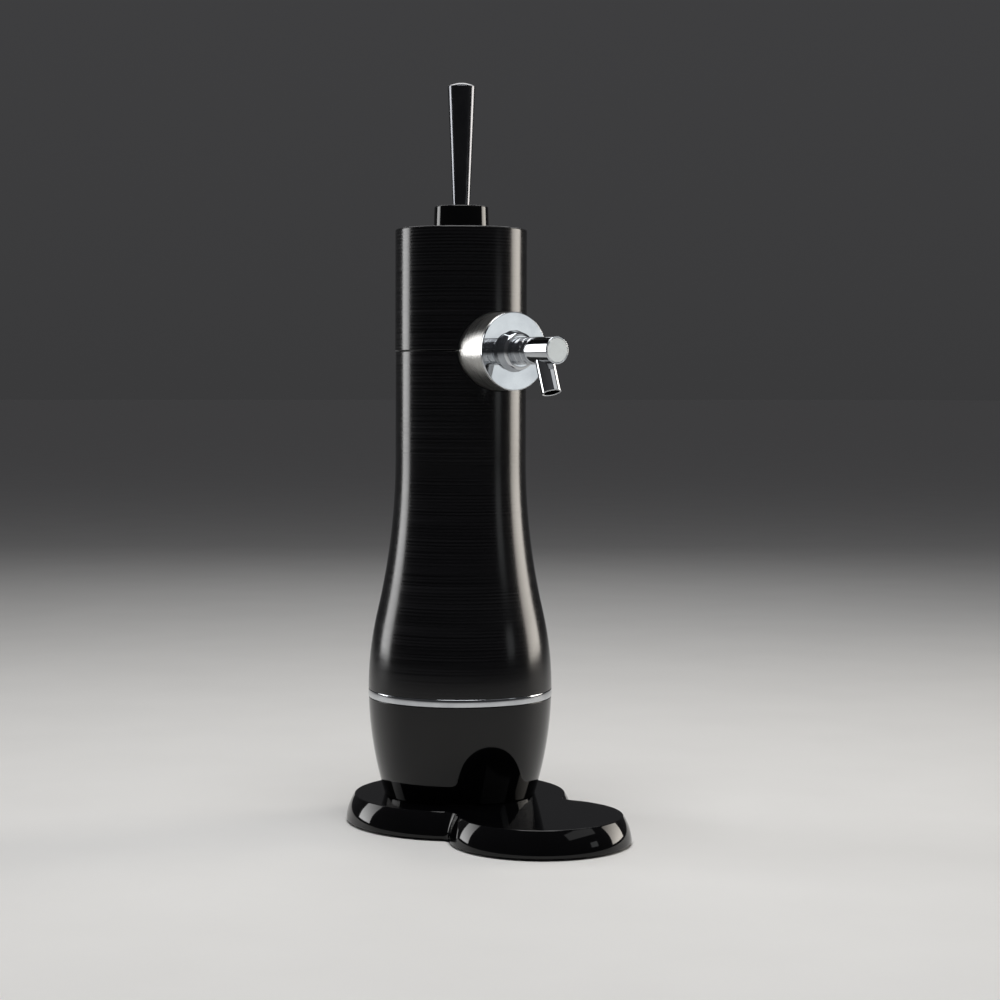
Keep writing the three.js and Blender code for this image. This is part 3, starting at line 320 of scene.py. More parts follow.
def turned_cap(name):
    """A turned and blasted steel cap: fine rings 0.3 mm apart about its centre, from the lathe, softly
    blurred by the blasting, so that it looks pale and even."""
    material, tree, shader, place = blank(name, Metallic=1.0)
    middle = add(tree, "VectorMath", {"operation": "SUBTRACT", 1: (0, 0, SPOUT_HEIGHT / 1000)}, {0: place})
    flat = add(tree, "VectorMath", {"operation": "MULTIPLY", 1: (1, 0, 1)}, {0: middle.outputs[0]})
    radius = add(tree, "VectorMath", {"operation": "LENGTH"}, {0: flat.outputs[0]}).outputs["Value"]
    rings = add(tree, "TexNoise", {"noise_dimensions": "1D", "Scale": 3300.0, "Detail": 1.0}, {"W": radius})
    grit = noise(tree, place, (5000, 5000, 5000), 1)
    feed(tree, shader, Base_Color=tints(tree, grit, (0.3, "#cfd0ce"), (0.7, "#e2e3e1")))
    feed(tree, shader, Roughness=ramp(tree, rings.outputs[0], 0.15, 0.22))
    under = relief(tree, shader, rings.outputs[0], 0.004, 0.3)
    relief(tree, shader, grit, 0.004, 0.25, under)
    return material


def plain_moulding(name, light, dark, rough, grain=3000, depth=0.012, **constants):
    """A moulded plastic or rubber part: a fine even mould grain about 1/grain metres across, and a slow
    drift of tone where it flowed and cooled."""
    material, tree, shader, place = blank(name, **constants)
    texture = noise(tree, place, (grain, grain, grain), 2)
    flow = noise(tree, place, (25, 25, 60), 3)
    feed(tree, shader, Base_Color=tints(tree, flow, (0.3, dark), (0.7, light)))
    feed(tree, shader, Roughness=ramp(tree, texture, *rough))
    relief(tree, shader, texture, depth, 0.5)
    return material


def circuit_board(name):
    """A glass-fibre board under green solder mask: copper tracks 0.8 mm wide show through as lighter
    lines, in rows 2.5 mm apart that are crossed every 7.8 mm, with the weave of the glass faintly under."""
    material, tree, shader, place = blank(name, IOR=1.5)
    shape = {"offset": 0.5, "Scale": 1.0, "Mortar Size": 0.16, "Brick Width": 3.1, "Row Height": 1.0}
    spread = add(tree, "Mapping", {"Scale": (400, 400, 400)}, {"Vector": place})
    tracks = add(tree, "TexBrick", shape, {"Vector": spread.outputs[0]}).outputs["Fac"]
    weave = noise(tree, place, (2500, 2500, 2500), 1)
    both = add(tree, "Math", {"operation": "MULTIPLY_ADD", 1: 0.25}, {0: weave, 2: tracks}).outputs[0]
    feed(tree, shader, Base_Color=tints(tree, both, (0.1, "#0d3b22"), (0.9, "#2f7d4a")))
    feed(tree, shader, Roughness=ramp(tree, weave, 0.25, 0.4))
    relief(tree, shader, tracks, 0.03, 0.5)
    return material


def cell_film(name):
    """A plated steel cell in printed plastic film: dark grey film with a copper-brown band for its last
    third, and bare bright metal at the shoulder and the button. The share runs up the cells, from 0 at
    their foot to 1 at the button's top."""
    material, tree, shader, place = blank(name, Metallic=0.6)
    height = add(tree, "SeparateXYZ", None, {0: place}).outputs["Z"]
    foot, button = 0.3521, 0.40266
    share = ramp(tree, height, 0, 1, foot, button)
    scuffs = noise(tree, place, (150, 150, 150), 4)
    bands = ((0, "#2b2f33"), (0.62, "#a8683a"), (0.95, "#c9ccce"))
    feed(tree, shader, Base_Color=tints(tree, share, *bands, blending="CONSTANT"))
    feed(tree, shader, Roughness=ramp(tree, scuffs, 0.22, 0.38))
    relief(tree, shader, scuffs, 0.01, 0.3)
    return material


def cast_plate(name):
    """A cast iron ballast plate, painted black: coarse sand-cast grain of 1.5 mm, a little worn bare."""
    material, tree, shader, place = blank(name, Metallic=0.3)
    grain = noise(tree, place, (650, 650, 650), 4, 0.6)
    wear = noise(tree, place, (90, 90, 90), 5, 0.6)
    feed(tree, shader, Base_Color=tints(tree, wear, (0.45, "#1e1e1f"), (0.7, "#3a3836")))
    feed(tree, shader, Roughness=ramp(tree, grain, 0.5, 0.75))
    relief(tree, shader, grain, 0.25, 0.6)
    return material


# The scales of lines round the spout's axis
SPOUT_ROUND = (18, 5000, 18)
foot_gloss = gloss_abs("gloss_black_moulded_abs")
brushed = brushed_black("black_anodised_brushed_aluminium")
chrome = chrome_plate("bright_chrome_plate")
# Black chrome plate over a satin ground on the handle: dark, with soft-edged highlights.
black_chrome = chrome_plate("black_chrome_plate", "#5f6064", "#56575b", (0.15, 0.2), 0.0002)
housing_steel = brushed_steel("stainless_steel_brushed_round", SPOUT_ROUND)
cap_steel = turned_cap("turned_blasted_steel")
stem_steel = brushed_steel("turned_steel", (25, 25, 4000), "#cfd0d1", "#8c8d8e", (0.15, 0.3))
across_steel = brushed_steel("drawn_steel", (25, 4000, 4000), "#cfd0d1", "#8c8d8e", (0.15, 0.3))
zinc = brushed_steel("zinc_plated_steel", (900, 900, 900), "#c2c6c9", "#8f9497", (0.28, 0.45), 0.02)
brass = brushed_steel("rolled_brass", (30, 3000, 900), "#d8b467", "#a07c38", (0.2, 0.35))
rubber = plain_moulding("moulded_black_rubber", "#1d1d1d", "#131313", (0.7, 0.9), 2500, 0.03)
inner_abs = plain_moulding("textured_black_abs", "#1c1c1e", "#121213", (0.42, 0.6), 2500, 0.03, IOR=1.5)
nylon = plain_moulding("natural_nylon", "#e6e1d3", "#d3ccba", (0.4, 0.55), 2500, 0.01, Subsurface_Weight=0.15,
                       Subsurface_Scale=0.003)
silicone = plain_moulding("clear_silicone_tube", "#e3e7e5", "#ccd3d1", (0.25, 0.4), 1500, 0.01,
                          Subsurface_Weight=0.3, Subsurface_Scale=0.004)
pad_silicone = plain_moulding("grey_silicone", "#b9bdbb", "#a4a9a7", (0.5, 0.65), 2000, 0.02)
ceramic = plain_moulding("fired_piezo_ceramic", "#d9c9a8", "#c2b08c", (0.45, 0.6), 3500, 0.01)
switch_abs = plain_moulding("black_nylon", "#19191a", "#101011", (0.35, 0.5), 3500, 0.01)
board_green = circuit_board("green_circuit_board")
cell_jacket = cell_film("filmed_cell")
spring_wire = brushed_steel("drawn_spring_wire", (300, 300, 4000), "#c9cbcd", "#86888a", (0.18, 0.32), 0.01)
ballast = cast_plate("painted_cast_iron")

# Every CAD node that stays shown has the finish of the real part.
KEPT = {
    ballast: ["foot_ballast"],
    inner_abs: ["foot_cover", "head_chassis", "battery_door"],
    zinc: ["lever_bracket", "pump_motor", "collar_screw_1", "collar_screw_2", "cup_screw_1", "cup_screw_2",
           "cup_screw_3"],
    nylon: ["inlet_fitting", "pump_housing", "pump_cover", "cell_tray", "plunger_front", "plunger_rear",
            "pump_roller_1", "pump_roller_2"],
    silicone: ["pump_tube"],
    across_steel: ["lever_pin", "pump_rotor"],
    housing_steel: ["ultrasonic_horn", "transducer_mass"],
    ceramic: ["piezo_rings"],
    brass: ["upper_contacts", "lower_contacts"],
    board_green: ["control_board"],
    switch_abs: ["tap_switch_front", "tap_switch_rear"],
    cell_jacket: ["cell_1", "cell_2"],
}
for material, names in KEPT.items():
    for name in names:
        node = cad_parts[name]
        node.data.materials.clear()
        node.data.materials.append(material)


# The foot

def foot_outline(inset):
    """The foot's outline, moved in by an inset, as four arcs tangent to each other: most of the disc under
    the tower, a hollow fillet, most of the disc under the glass, and the other fillet. Each arc is its
    centre plus its radius times the cosine and sine of evenly spaced angles."""
    spacing = TOWER_Y - GLASS_Y
    to_tower, to_glass = TOWER_LOBE + WAIST_FILLET, GLASS_LOBE + WAIST_FILLET
    forward = (spacing**2 + to_tower**2 - to_glass**2) / (2 * spacing)
    sideways = math.sqrt(to_tower**2 - forward**2)
    tower_arc, glass_arc = math.atan2(sideways, forward), math.atan2(sideways, spacing - forward)
    right, fillet, fillet_y = math.pi / 2, WAIST_FILLET + inset, TOWER_Y - forward
    tower_points, glass_points, fillet_points = 132, 108, 20
    arcs = (
        (0, TOWER_Y, TOWER_LOBE - inset, tower_arc - right, 3 * right - tower_arc, tower_points),
        (-sideways, fillet_y, fillet, right - tower_arc, glass_arc - right, fillet_points),
        (0, GLASS_Y, GLASS_LOBE - inset, right + glass_arc, 5 * right - glass_arc, glass_points),
        (sideways, fillet_y, fillet, 3 * right - glass_arc, right + tower_arc, fillet_points),
    )
    parts = []
    for x, y, radius, start, end, count in arcs:
        angle = np.linspace(start, end, count, endpoint=False)
        parts.append(np.stack([x + radius * np.cos(angle), y + radius * np.sin(angle)], -1))
    return np.concatenate(parts)


def foot_inset(height):
    """How far the foot's bulging side has drawn in at a height: the fall of a circle upright at the table."""
    return FOOT_CURVE - np.sqrt(FOOT_CURVE**2 - np.asarray(height, float) ** 2)


def foot_shell():
    """The outline carried along a profile of inset and height: out along the ceiling, down inside, round
    the lower lip, up the bulging side and over the top edge. The flat ceiling and top are the outline
    drawn in towards a point between the discs."""
    ceiling, lip, top_edge = FOOT_TOP - WALL, 0.8, 0.9
    side_low, side_high = 3.2, 18.4
    side = [(float(foot_inset(height)), height) for height in np.linspace(side_low, side_high, 12)]
    inner, lip_inset, top_inset = (float(foot_inset(height)) for height in (ceiling, 2, FOOT_TOP))
    corners = [
        (inner + WALL + 2, ceiling), (inner + WALL, ceiling, 1), (lip_inset + WALL, FOOT_BOTTOM, lip),
        (lip_inset, FOOT_BOTTOM, lip), *side, (top_inset - 0.05, FOOT_TOP, top_edge),
        (top_inset + 3, FOOT_TOP),
    ]

    def ring_at(inset, height):
        outline = foot_outline(inset)
        return np.column_stack([outline, np.full(len(outline), height)])

    rings = np.stack([ring_at(inset, height) for inset, height in rounded(corners, 6)])
    between_discs = np.array([0.0, -20.0])
    shares = np.linspace(1, 0, 9)[1:, None, None]

    def closed_in(ring):
        flat = between_discs + (ring[None, :, :2] - between_discs) * shares
        return np.concatenate([flat, np.full(flat.shape[:2] + (1,), ring[0, 2])], -1)

    return np.concatenate([closed_in(rings[0])[::-1], rings, closed_in(rings[-1])])


def foot_pad():
    """A flat rubber disc, its edge rounded, with two shallow grooves round its underside."""
    radius, height, depth, slope = 8.0, 2.05, 0.35, 0.3
    underside = [(0, 0)]
    for inner, outer in ((1.8, 3.0), (4.4, 5.6)):
        underside += [(inner, 0), (inner + slope, depth), (outer - slope, depth), (outer, 0)]
    rim = rounded([(outer + 0.2, 0), (radius, 0, 0.6), (radius, height, 0.15), (0, height)], 4)
    return revolved(np.concatenate([underside, rim]), 64)


def socket_screw():
    """A round-headed screw pointing up, with a six-sided socket in its head: the socket's rows go round at
    the radius of a hexagon, its flat's distance over the cosine of the angle from the flat's middle."""
    flat, head, shank, face, tip = 1.25, 2.8, 1.4, -1.5, 11
    socket_floor, socket_mouth = -0.4, -1.4
    angle = np.linspace(0, 2 * math.pi, 96, endpoint=False)
    hexagon = flat / np.cos((angle + math.pi / 6) % (math.pi / 3) - math.pi / 6)
    body = rounded([(1.5, face), (head, face, 0.5), (head, 0), (shank, 0), (shank, tip - 1.5), (0, tip)], 4)
    socket = np.stack([0 * hexagon, hexagon * 0.97, hexagon, np.maximum(hexagon * 1.03, 1.48)])
    across = np.concatenate([socket, body[:, :1] + 0 * angle])
    levels = np.concatenate([[socket_floor, socket_floor, socket_mouth, face], body[:, 1]])
    along = levels[:, None] + 0 * angle
    return np.stack([across * np.sin(angle), -across * np.cos(angle), along], -1)


dressed(skin("foot", foot_shell()), foot_gloss, "tower", "foot_gloss", "foot_shell")
for number in range(1, 6):
    low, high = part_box(f"foot_pad_{number}")
    middle = (low + high) * 500
    pad = skin(f"rubber_pad_{number}", moved(foot_pad(), middle.x, middle.y))
    dressed(pad, rubber, "tower", "rubber_pads", f"foot_pad_{number}")
for number in range(1, 4):
    low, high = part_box(f"cover_screw_{number}")
    middle = (low + high) * 500
    screw = skin(f"foot_screw_{number}", moved(socket_screw(), middle.x, middle.y, low.z * 1000 + 1.5))
    dressed(screw, zinc, "tower", "screw_zinc", f"cover_screw_{number}")


# The tower: cup, ring, body, chamber

def on_tower(profile, columns=ROUND_COLUMNS):
    """A profile turned round the tower's axis."""
    return moved(revolved(profile, columns), y=TOWER_Y)


def side_points(low, high, count, inset=0.0):
    """Points up the tower's side between two heights, moved in by an inset."""
    height = np.linspace(low, high, count)
    return np.column_stack([tower_radius(height) - inset, height])


def lower_cup():
    """The cup's arc from the foot up to the ring, a shoulder under the ring, the spigot that the tower
    stands round, and the inside back down to the floor."""
    spigot, spigot_wall = float(tower_radius(SPIGOT_TOP)) - WALL - 0.8, 2.4
    bottom, floor, shoulder = FOOT_TOP + 0.05, 23.05, RING_BOTTOM - 0.1
    outside = [tuple(point) for point in side_points(22, shoulder - 2, 26)]
    inside = [tuple(point) for point in side_points(26, 88, 14, WALL + 0.3)[::-1]]
    corners = [(0, bottom), (float(tower_radius(bottom)), bottom, 0.8), *outside,
               (float(tower_radius(shoulder)), shoulder, 0.5), (spigot, shoulder), (spigot, SPIGOT_TOP, 0.4),
               (spigot - spigot_wall, SPIGOT_TOP, 0.4), (spigot - spigot_wall, 92), *inside,
               (float(inside[-1][0]) - 1.5, floor, 1.0), (0, floor)]
    return on_tower(rounded(corners, 5))


def trim_ring():
    """A band that stands a little proud of the tower. Its face is crowned: the radius falls off with the
    square of the distance from the band's middle, by 0.22 mm at its edges, which are rounded."""
    inner, proud, fall, edge = float(tower_radius(SPIGOT_TOP)) - WALL - 0.5, 0.25, 0.22, 0.35
    half = (RING_TOP - RING_BOTTOM) / 2
    share = np.linspace(-0.8, 0.8, 15)
    crown = np.column_stack([HIP + proud - fall * share**2, RING_BOTTOM + half * (1 + share)])
    outer = HIP + proud - fall
    corners = [(inner, RING_BOTTOM, 0.2), (outer, RING_BOTTOM, edge), *crown.tolist(),
               (outer, RING_TOP, edge), (inner, RING_TOP, 0.2)]
    return on_tower(rounded(corners, 5, closed=True), 256)


def split_wall(level, side, radius, far_level, far_angle, radius_at, far_rows):
    """The wall of the tower or the head as one closed loop of rows. Its columns meet the edge at the seam
    or, in front, at the round room for the spout's housing: there the edge is (room sin u, room cos u)
    about the housing's axis. Near the edge a row is offset into the wall along the edge's normal, and
    further off its angle and height run evenly to those of the far level. Radii follow from the height.
    side is -1 for the tower, whose edge is its top, and 1 for the head, whose edge is its bottom."""
    room, room_columns, plain_columns = SPOUT_RADIUS + SPOUT_GAP, 113, 149
    end = math.acos(side * (level - SPOUT_HEIGHT) / room)
    turn = np.linspace(-end, end, room_columns)
    far_end = math.asin(min(room * math.sin(end) / radius, 1))
    beside = far_end + np.array([0.55, 0.95]) / radius
    plain = np.linspace(far_end, 2 * math.pi - far_end, plain_columns + 2)[1:-1]
    plain = np.concatenate([beside, plain, 2 * math.pi - beside[::-1]])
    front = np.concatenate([np.ones(room_columns, bool), np.zeros(len(plain), bool)])
    x = np.concatenate([room * np.sin(turn), np.zeros(len(plain))])
    z = np.concatenate([SPOUT_HEIGHT + side * room * np.cos(turn), np.full(len(plain), level)])
    normal_x = np.concatenate([np.sin(turn), np.zeros(len(plain))])
    normal_z = np.concatenate([side * np.cos(turn), np.full(len(plain), float(side))])
    normal_z[[0, room_columns - 1]] = side
    far = np.concatenate([turn * far_end / end, plain])

    def row(depth, inset, blend=0.0):
        height = z + normal_z * depth
        height = (1 - blend) * height + blend * far_level
        at = radius_at(height) - inset
        near = radius_at(z + normal_z * depth) - inset
        side_way = np.arcsin(np.clip((x + normal_x * depth) / near, -1, 1))
        angle = (1 - blend) * np.where(front, side_way, far) + blend * far
        return np.stack([at * np.sin(angle), -at * np.cos(angle), height], -1)

    edge, flat, quarter = 0.4, 0.56, np.radians(np.linspace(0, 90, 5))
    blends = np.concatenate([[0, 0.0016, 0.005, 0.012, 0.028, 0.06], np.linspace(0.1, 1, far_angle)])
    outer = np.stack([row(edge, 0, blend) for blend in blends])
    inner = np.stack([row(edge, WALL, blend) for blend in blends])
    rim = np.stack(
        [row(edge * (1 - math.sin(a)), edge * (1 - math.cos(a))) for a in quarter[1:]]
        + [row(0, flat), row(0, WALL - flat)]
        + [row(edge * (1 - math.sin(a)), WALL - edge * (1 - math.cos(a))) for a in quarter[::-1][:-1]])
    across, along = np.asarray(far_rows, float).T[..., None]
    closing = np.stack([across * np.sin(far), -across * np.cos(far), along * np.ones_like(far)], -1)
    if side < 0:
        loop = [outer[::-1], rim, inner, closing[::-1]]
    else:
        loop = [outer, closing, inner[::-1], rim[::-1]]
    return moved(np.concatenate(loop), y=TOWER_Y)


def tower_body():
    """The tower's wall from the ring up to the seam, open round the housing, with a rounded lower edge."""
    bottom = RING_TOP + 0.1
    above = bottom + 2
    at_bottom, at_above = float(tower_radius(bottom)), float(tower_radius(above))
    low = rounded([(at_above, above), (at_bottom, bottom, 0.5), (at_bottom - WALL, bottom, 0.3),
                   (at_above - WALL, above)], 5)
    return split_wall(BODY_TOP, -1, NECK, above, 44, tower_radius, low[1:-1])


def head_body():
    """The head's wall from the seam up, over its rounded top edge, in to the hole for the lever's ball, and
    back along the ceiling."""
    hole, ceiling, far_level = 11.1, HEAD_TOP - WALL, HEAD_TOP - 5
    top = rounded([(HEAD, HEAD_TOP - 2), (HEAD, HEAD_TOP, 1.2), (hole, HEAD_TOP, 0.3), (hole, ceiling, 0.3),
                   (HEAD - WALL, ceiling, 0.6), (HEAD - WALL, far_level)], 7)

    def head_radius(height):
        return np.full_like(np.asarray(height, float), HEAD)

    return split_wall(HEAD_BOTTOM, 1, HEAD, far_level, 16, head_radius, top[1:-1])


def chamber_liner():
    """A smooth inner tube with a floor and a lip at its top, its mouth rounded for the bottle."""
    low, floor, top, inside, outside = 23.1, 25.1, 316.0, 42.0, 43.4
    lip, under_lip = NECK - WALL - 0.3, top - 3
    corners = [(0, low), (outside, low, 1.0), (outside, under_lip), (lip, under_lip, 0.3), (lip, top, 0.5),
               (inside, top, 1.2), (inside, floor, 3.0), (0, floor)]
    return on_tower(rounded(corners, 6))


def bottle_pad():
    """A disc with rings 5 mm apart moulded in its top as a cosine of the radius, 0.2 mm deep."""
    outer, low, top, pitch, depth = 40.5, 25.15, 27.15, 5, 0.2
    radius = np.linspace(outer - 2, 0, 90)
    ribs = top - depth / 2 * (1 - np.cos(2 * math.pi * radius / pitch))
    rim = rounded([(0, low), (outer, low, 0.3), (outer, top, 0.5), (outer - 1.5, top)], 4)
    return on_tower(np.concatenate([rim, np.column_stack([radius, ribs])]))


def neck_plug():
    """The skirt under the head that plugs into the neck, open in front for the housing. Its section is a
    rounded rectangle. A point of the section goes round the axis from the flat end on one side to the flat
    end on the other: it meets the end's plane at the angle whose sine is the plane's distance over the
    point's radius. Each end is drawn in over a narrow bevel and closed at the section's middle. It lies
    0.1 mm outside the chassis's own skirt, which stays under it."""
    end_plane, bevel, beside = 28.4, 0.15, 0.4
    outer, inner, top, low, edge = 45.0, 42.6, 350.0, 331.9, 0.3
    section = rounded([(outer, top), (outer, low, edge), (inner, low, edge), (inner, top)], 5, closed=True)
    half = np.ptp(section, axis=0) / 2
    middle = section.min(axis=0) + half

    def ring(share, plane, drawn_in):
        radius, height = (middle + (section - middle) * (1 - drawn_in / half)).T
        end = np.arcsin(plane / radius)
        angle = end + 2 * (math.pi - end) * share
        return np.stack([radius * np.sin(angle), -radius * np.cos(angle), height], -1)

    steps = [(end_plane, half), (end_plane, 0.5), (end_plane, bevel), (end_plane + bevel, 0),
             (end_plane + beside, 0)]
    rings = [ring(0, *step) for step in steps]
    rings += [ring(share, end_plane + beside, 0) for share in np.linspace(0, 1, 160)[1:-1]]
    rings += [ring(1, *step) for step in steps[::-1]]
    return moved(np.stack(rings), y=TOWER_Y)


dressed(skin("cup", lower_cup()), foot_gloss, "tower", "cup_gloss", "lower_cup")
dressed(skin("chrome_ring", trim_ring(), True), chrome, "tower", "ring_chrome", "trim_ring")
dressed(skin("tower_body", tower_body(), True), brushed, "tower", "tower_satin", "tower_shell")
dressed(skin("liner", chamber_liner()), inner_abs, "tower", "inner_plastic", "chamber_liner")
dressed(skin("bottle_rest", bottle_pad()), pad_silicone, "tower", "pad_silicone", "bottle_pad")
dressed(skin("head_body", head_body(), True), brushed, "head", "head_satin", "head_shell")
dressed(skin("neck_plug", neck_plug()), inner_abs, "head", "inner_plastic")


# The collar, lever and handle

def collar_cap():
    """A slightly tapered ring: up its side, over a rounded shoulder, in to the mouth and down a short cone
    to the bore for the ball."""
    bore, mouth, foot, top, low = 11.1, 8.9, 20.4, 19.8, HEAD_TOP + 0.05
    corners = [(bore, low), (foot, low, 0.35), (top, COLLAR_TOP, 0.9), (mouth, COLLAR_TOP, 0.35),
               (bore, COLLAR_TOP - 4, 0.6)]
    return on_tower(rounded(corners, 7, closed=True))


def lever_ball():
    """The rocker's stem, the ball on it with a flat on top, and the stud that the handle is screwed on."""
    ball, flat, stem, stem_end, screw, screw_end = 10.5, 8.45, 4, -17, 3, 30.45
    turn = np.radians(np.linspace(-67.6, 53.6, 40))
    sphere = np.column_stack([ball * np.cos(turn), ball * np.sin(turn)])
    low = [(0, stem_end), (stem, stem_end)]
    stud = rounded([(float(sphere[-1][0]) - 0.3, flat), (screw, flat, 0.4), (screw, screw_end, 0.6),
                    (0, screw_end)], 4)
    return moved(on_tower(np.concatenate([low, sphere, stud])), z=PIVOT)


def rocker_bar():
    """A flat bar under the stem: its section is a rounded rectangle, a superellipse of power 8 carried
    from end to end with its ends rounded off."""
    half_length, half_width, half_height, level = 15, 6, 1.5, -17
    end_round, end_shrink = 0.4, 0.045
    turn = np.linspace(0, 2 * math.pi, 64, endpoint=False)
    bend = np.radians([30, 60, 90])

    def squared(value):
        return np.sign(value) * np.abs(value) ** (2 / 8)

    rising = -half_length + end_round * (1 - np.cos(bend))
    length = np.concatenate([[-half_length] * 2, rising, [0], -rising[::-1], [half_length] * 2])
    growing = 1 - end_shrink * (1 - np.sin(bend))
    size = np.concatenate([[0, 1 - end_shrink], growing, [1], growing[::-1], [1 - end_shrink, 0]])[:, None]
    x, z = half_width * size * squared(np.sin(turn)), level + half_height * size * squared(np.cos(turn))
    return moved(np.stack([x, length[:, None] * np.ones_like(x), z], -1), y=TOWER_Y, z=PIVOT)


def handle():
    """A cone that widens upwards, with a small round at its root, a rounded rim and a domed top: the dome
    is a spherical cap of 2.7 mm. The solid's is 4 mm, and its tip stands 1.3 mm higher than this one's."""
    root, top, length, rise, hole = 6.25, 10.2, 90.7, 2.7, 3.3
    radius = (top**2 + rise**2) / (2 * rise)
    rim, inside_rim = length - rise, top - 1.2
    turn = np.linspace(math.asin(inside_rim / radius), 0, 16)[1:]
    dome = [(radius * math.sin(a), length - radius + radius * math.cos(a)) for a in turn]
    shoulder = (inside_rim, length - radius + math.sqrt(radius**2 - inside_rim**2))
    corners = [(0, 1), (hole, 1), (hole, 0, 0.15), (root, 0, 0.35), (top, rim, 0.5), shoulder]
    profile = np.concatenate([rounded(corners, 7), dome])
    return moved(on_tower(profile), z=COLLAR_TOP)


def coil_spring(low, high):
    """A helix of round wire between two heights: at a share t of the wire the height is t less a sine of t,
    so that the coils lie close at both ends. Round each point the wire's edge is the radius times a cosine
    outwards and a sine upwards, and the cut ends are closed."""
    wire, turns, closing, clear, turn_points = 0.4, 5, 0.45, 0.05, 24
    reach = (high.x - low.x) * 500 - wire - clear
    rise = (high.z - low.z) * 1000 - 2 * wire
    share = np.linspace(0, 1, turn_points * turns + 1)[:, None]
    turned = 2 * math.pi * turns * share
    outward = np.concatenate([np.sin(turned), -np.cos(turned), 0 * turned], -1)
    climb = rise * (1 - closing * np.cos(2 * math.pi * share)) / (2 * math.pi * turns)
    along = np.concatenate([reach * np.cos(turned), reach * np.sin(turned), climb], -1)
    upward = np.cross(outward, along / np.linalg.norm(along, axis=-1, keepdims=True))
    height = low.z * 1000 + wire + rise * (share - closing * np.sin(2 * math.pi * share) / (2 * math.pi))
    centre = reach * outward + height * np.array([0, 0, 1])
    around_wire = np.linspace(0, 2 * math.pi, 12, endpoint=False)[:, None]
    ring = np.cos(around_wire) * outward[:, None] - np.sin(around_wire) * upward[:, None]
    grid = centre[:, None] + wire * ring
    ends = np.repeat(centre[[0, -1], None], 12, axis=1)
    return moved(np.concatenate([ends[:1], grid, ends[1:]]), y=(low.y + high.y) * 500)


dressed(skin("collar_cap", collar_cap(), True), foot_gloss, "head", "collar_gloss", "collar")
dressed(skin("lever_ball", lever_ball()), stem_steel, "lever", "inner_steel", "lever_stem")
dressed(skin("rocker_bar", rocker_bar()), stem_steel, "lever", "inner_steel", "lever_stem")
dressed(skin("tap_handle", handle()), black_chrome, "lever", "handle_gloss", "handle")
for place in ("front", "rear"):
    low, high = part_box(f"plunger_spring_{place}")
    spring = skin(f"spring_{place}", coil_spring(low, high))
    spring.data.materials.append(spring_wire)
    middle = (low + high) / 2
    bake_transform(spring)
    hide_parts(f"plunger_spring_{place}")


# The spout. Its profiles are (radius, distance forward from the tower's axis).

def spout_housing():
    """A cup on its side: closed behind but for the tube's hole, its wall to the faceplate, edges rounded."""
    wall, tube_hole, back, front = 2.2, 5.5, 35.5, 67.1
    inside, floor = SPOUT_RADIUS - wall, back + wall
    corners = [(tube_hole, back, 0.3), (SPOUT_RADIUS, back, 0.6), (SPOUT_RADIUS, front, 0.35),
               (inside, front, 0.3), (inside, floor, 0.5), (tube_hole, floor, 0.3)]
    return on_spout(revolved(rounded(corners, 5, closed=True)))


def faceplate():
    """A flat disc with a rounded front edge and a hole for the horn's stem."""
    back, front = 67.3, 68.8
    corners = [(HORN_HOLE, back), (SPOUT_RADIUS, back, 0.3), (SPOUT_RADIUS, front, 0.55), (HORN_HOLE, front)]
    return on_spout(revolved(rounded(corners, 7, closed=True), 256))


def spout_hub():
    """A short cone on the faceplate with a generous round at its nose."""
    foot, nose, back, front = 15, 13, 68.85, 76.85
    corners = [(HORN_HOLE, back), (foot, back, 0.15), (nose, front, 2.4), (HORN_HOLE, front)]
    return on_spout(revolved(rounded(corners, 10, closed=True)))


def ribbed_sleeve():
    """A straight sleeve with two grooves round it, every edge rounded."""
    back, front, groove = 76.9, 95.3, 9.0
    corners = [(HORN_HOLE, back), (SLEEVE_RADIUS, back, 0.4)]
    for place in (82.4, 89.7):
        corners += [(SLEEVE_RADIUS, place - 0.75, 0.3), (groove, place - 0.6, 0.15),
                    (groove, place + 0.6, 0.15), (SLEEVE_RADIUS, place + 0.75, 0.3)]
    corners += [(SLEEVE_RADIUS, front, 0.4), (HORN_HOLE, front)]
    return on_spout(revolved(rounded(corners, 5, closed=True)))


def barrel():
    """The spout's end, closed behind by the sleeve, with a rounded front edge round the cap's recess."""
    bore, recess, back, floor, front = 4, 8.75, 95.35, 119.3, 120.7
    corners = [(bore, back), (SLEEVE_RADIUS, back, 0.4), (SLEEVE_RADIUS, front, 0.5), (recess, front, 0.12),
               (recess, floor), (bore, floor)]
    return on_spout(revolved(rounded(corners, 6, closed=True)))


def barrel_cap():
    """A thin disc with a rounded front edge."""
    radius, back, front = 8.6, 119.4, 120.7
    corners = [(0, back), (radius, back), (radius, front, 0.2), (0, front)]
    return on_spout(revolved(rounded(corners, 5)))


def nozzle():
    """A pipe that leans forwards from the barrel, its mouth rounded inside and out. The lean is its angle
    from the spout's axis, and the root is where it leaves that axis."""
    bore, outer, start, mouth, lean, root = 5.6, 7, 2.5, 31.6, 70, 103.5
    corners = [(bore, start), (outer, start), (outer, mouth, 0.6), (bore, mouth, 0.5)]
    return on_spout(moved(tipped(revolved(rounded(corners, 7, closed=True)), lean), z=root))


dressed(skin("housing", spout_housing(), True), housing_steel, "head", "housing_brushed", "spout_housing")
dressed(skin("face", faceplate(), True), chrome, "head", "face_chrome", "faceplate")
dressed(skin("hub", spout_hub(), True), chrome, "head", "face_chrome", "spout_hub")
dressed(skin("sleeve", ribbed_sleeve(), True), chrome, "head", "face_chrome", "ribbed_sleeve")
dressed(skin("spout_barrel", barrel(), True), chrome, "head", "face_chrome", "barrel")
dressed(skin("end_cap", barrel_cap()), cap_steel, "head", "cap_satin", "barrel_cap")
dressed(skin("spout_nozzle", nozzle(), True), chrome, "head", "face_chrome", "nozzle")


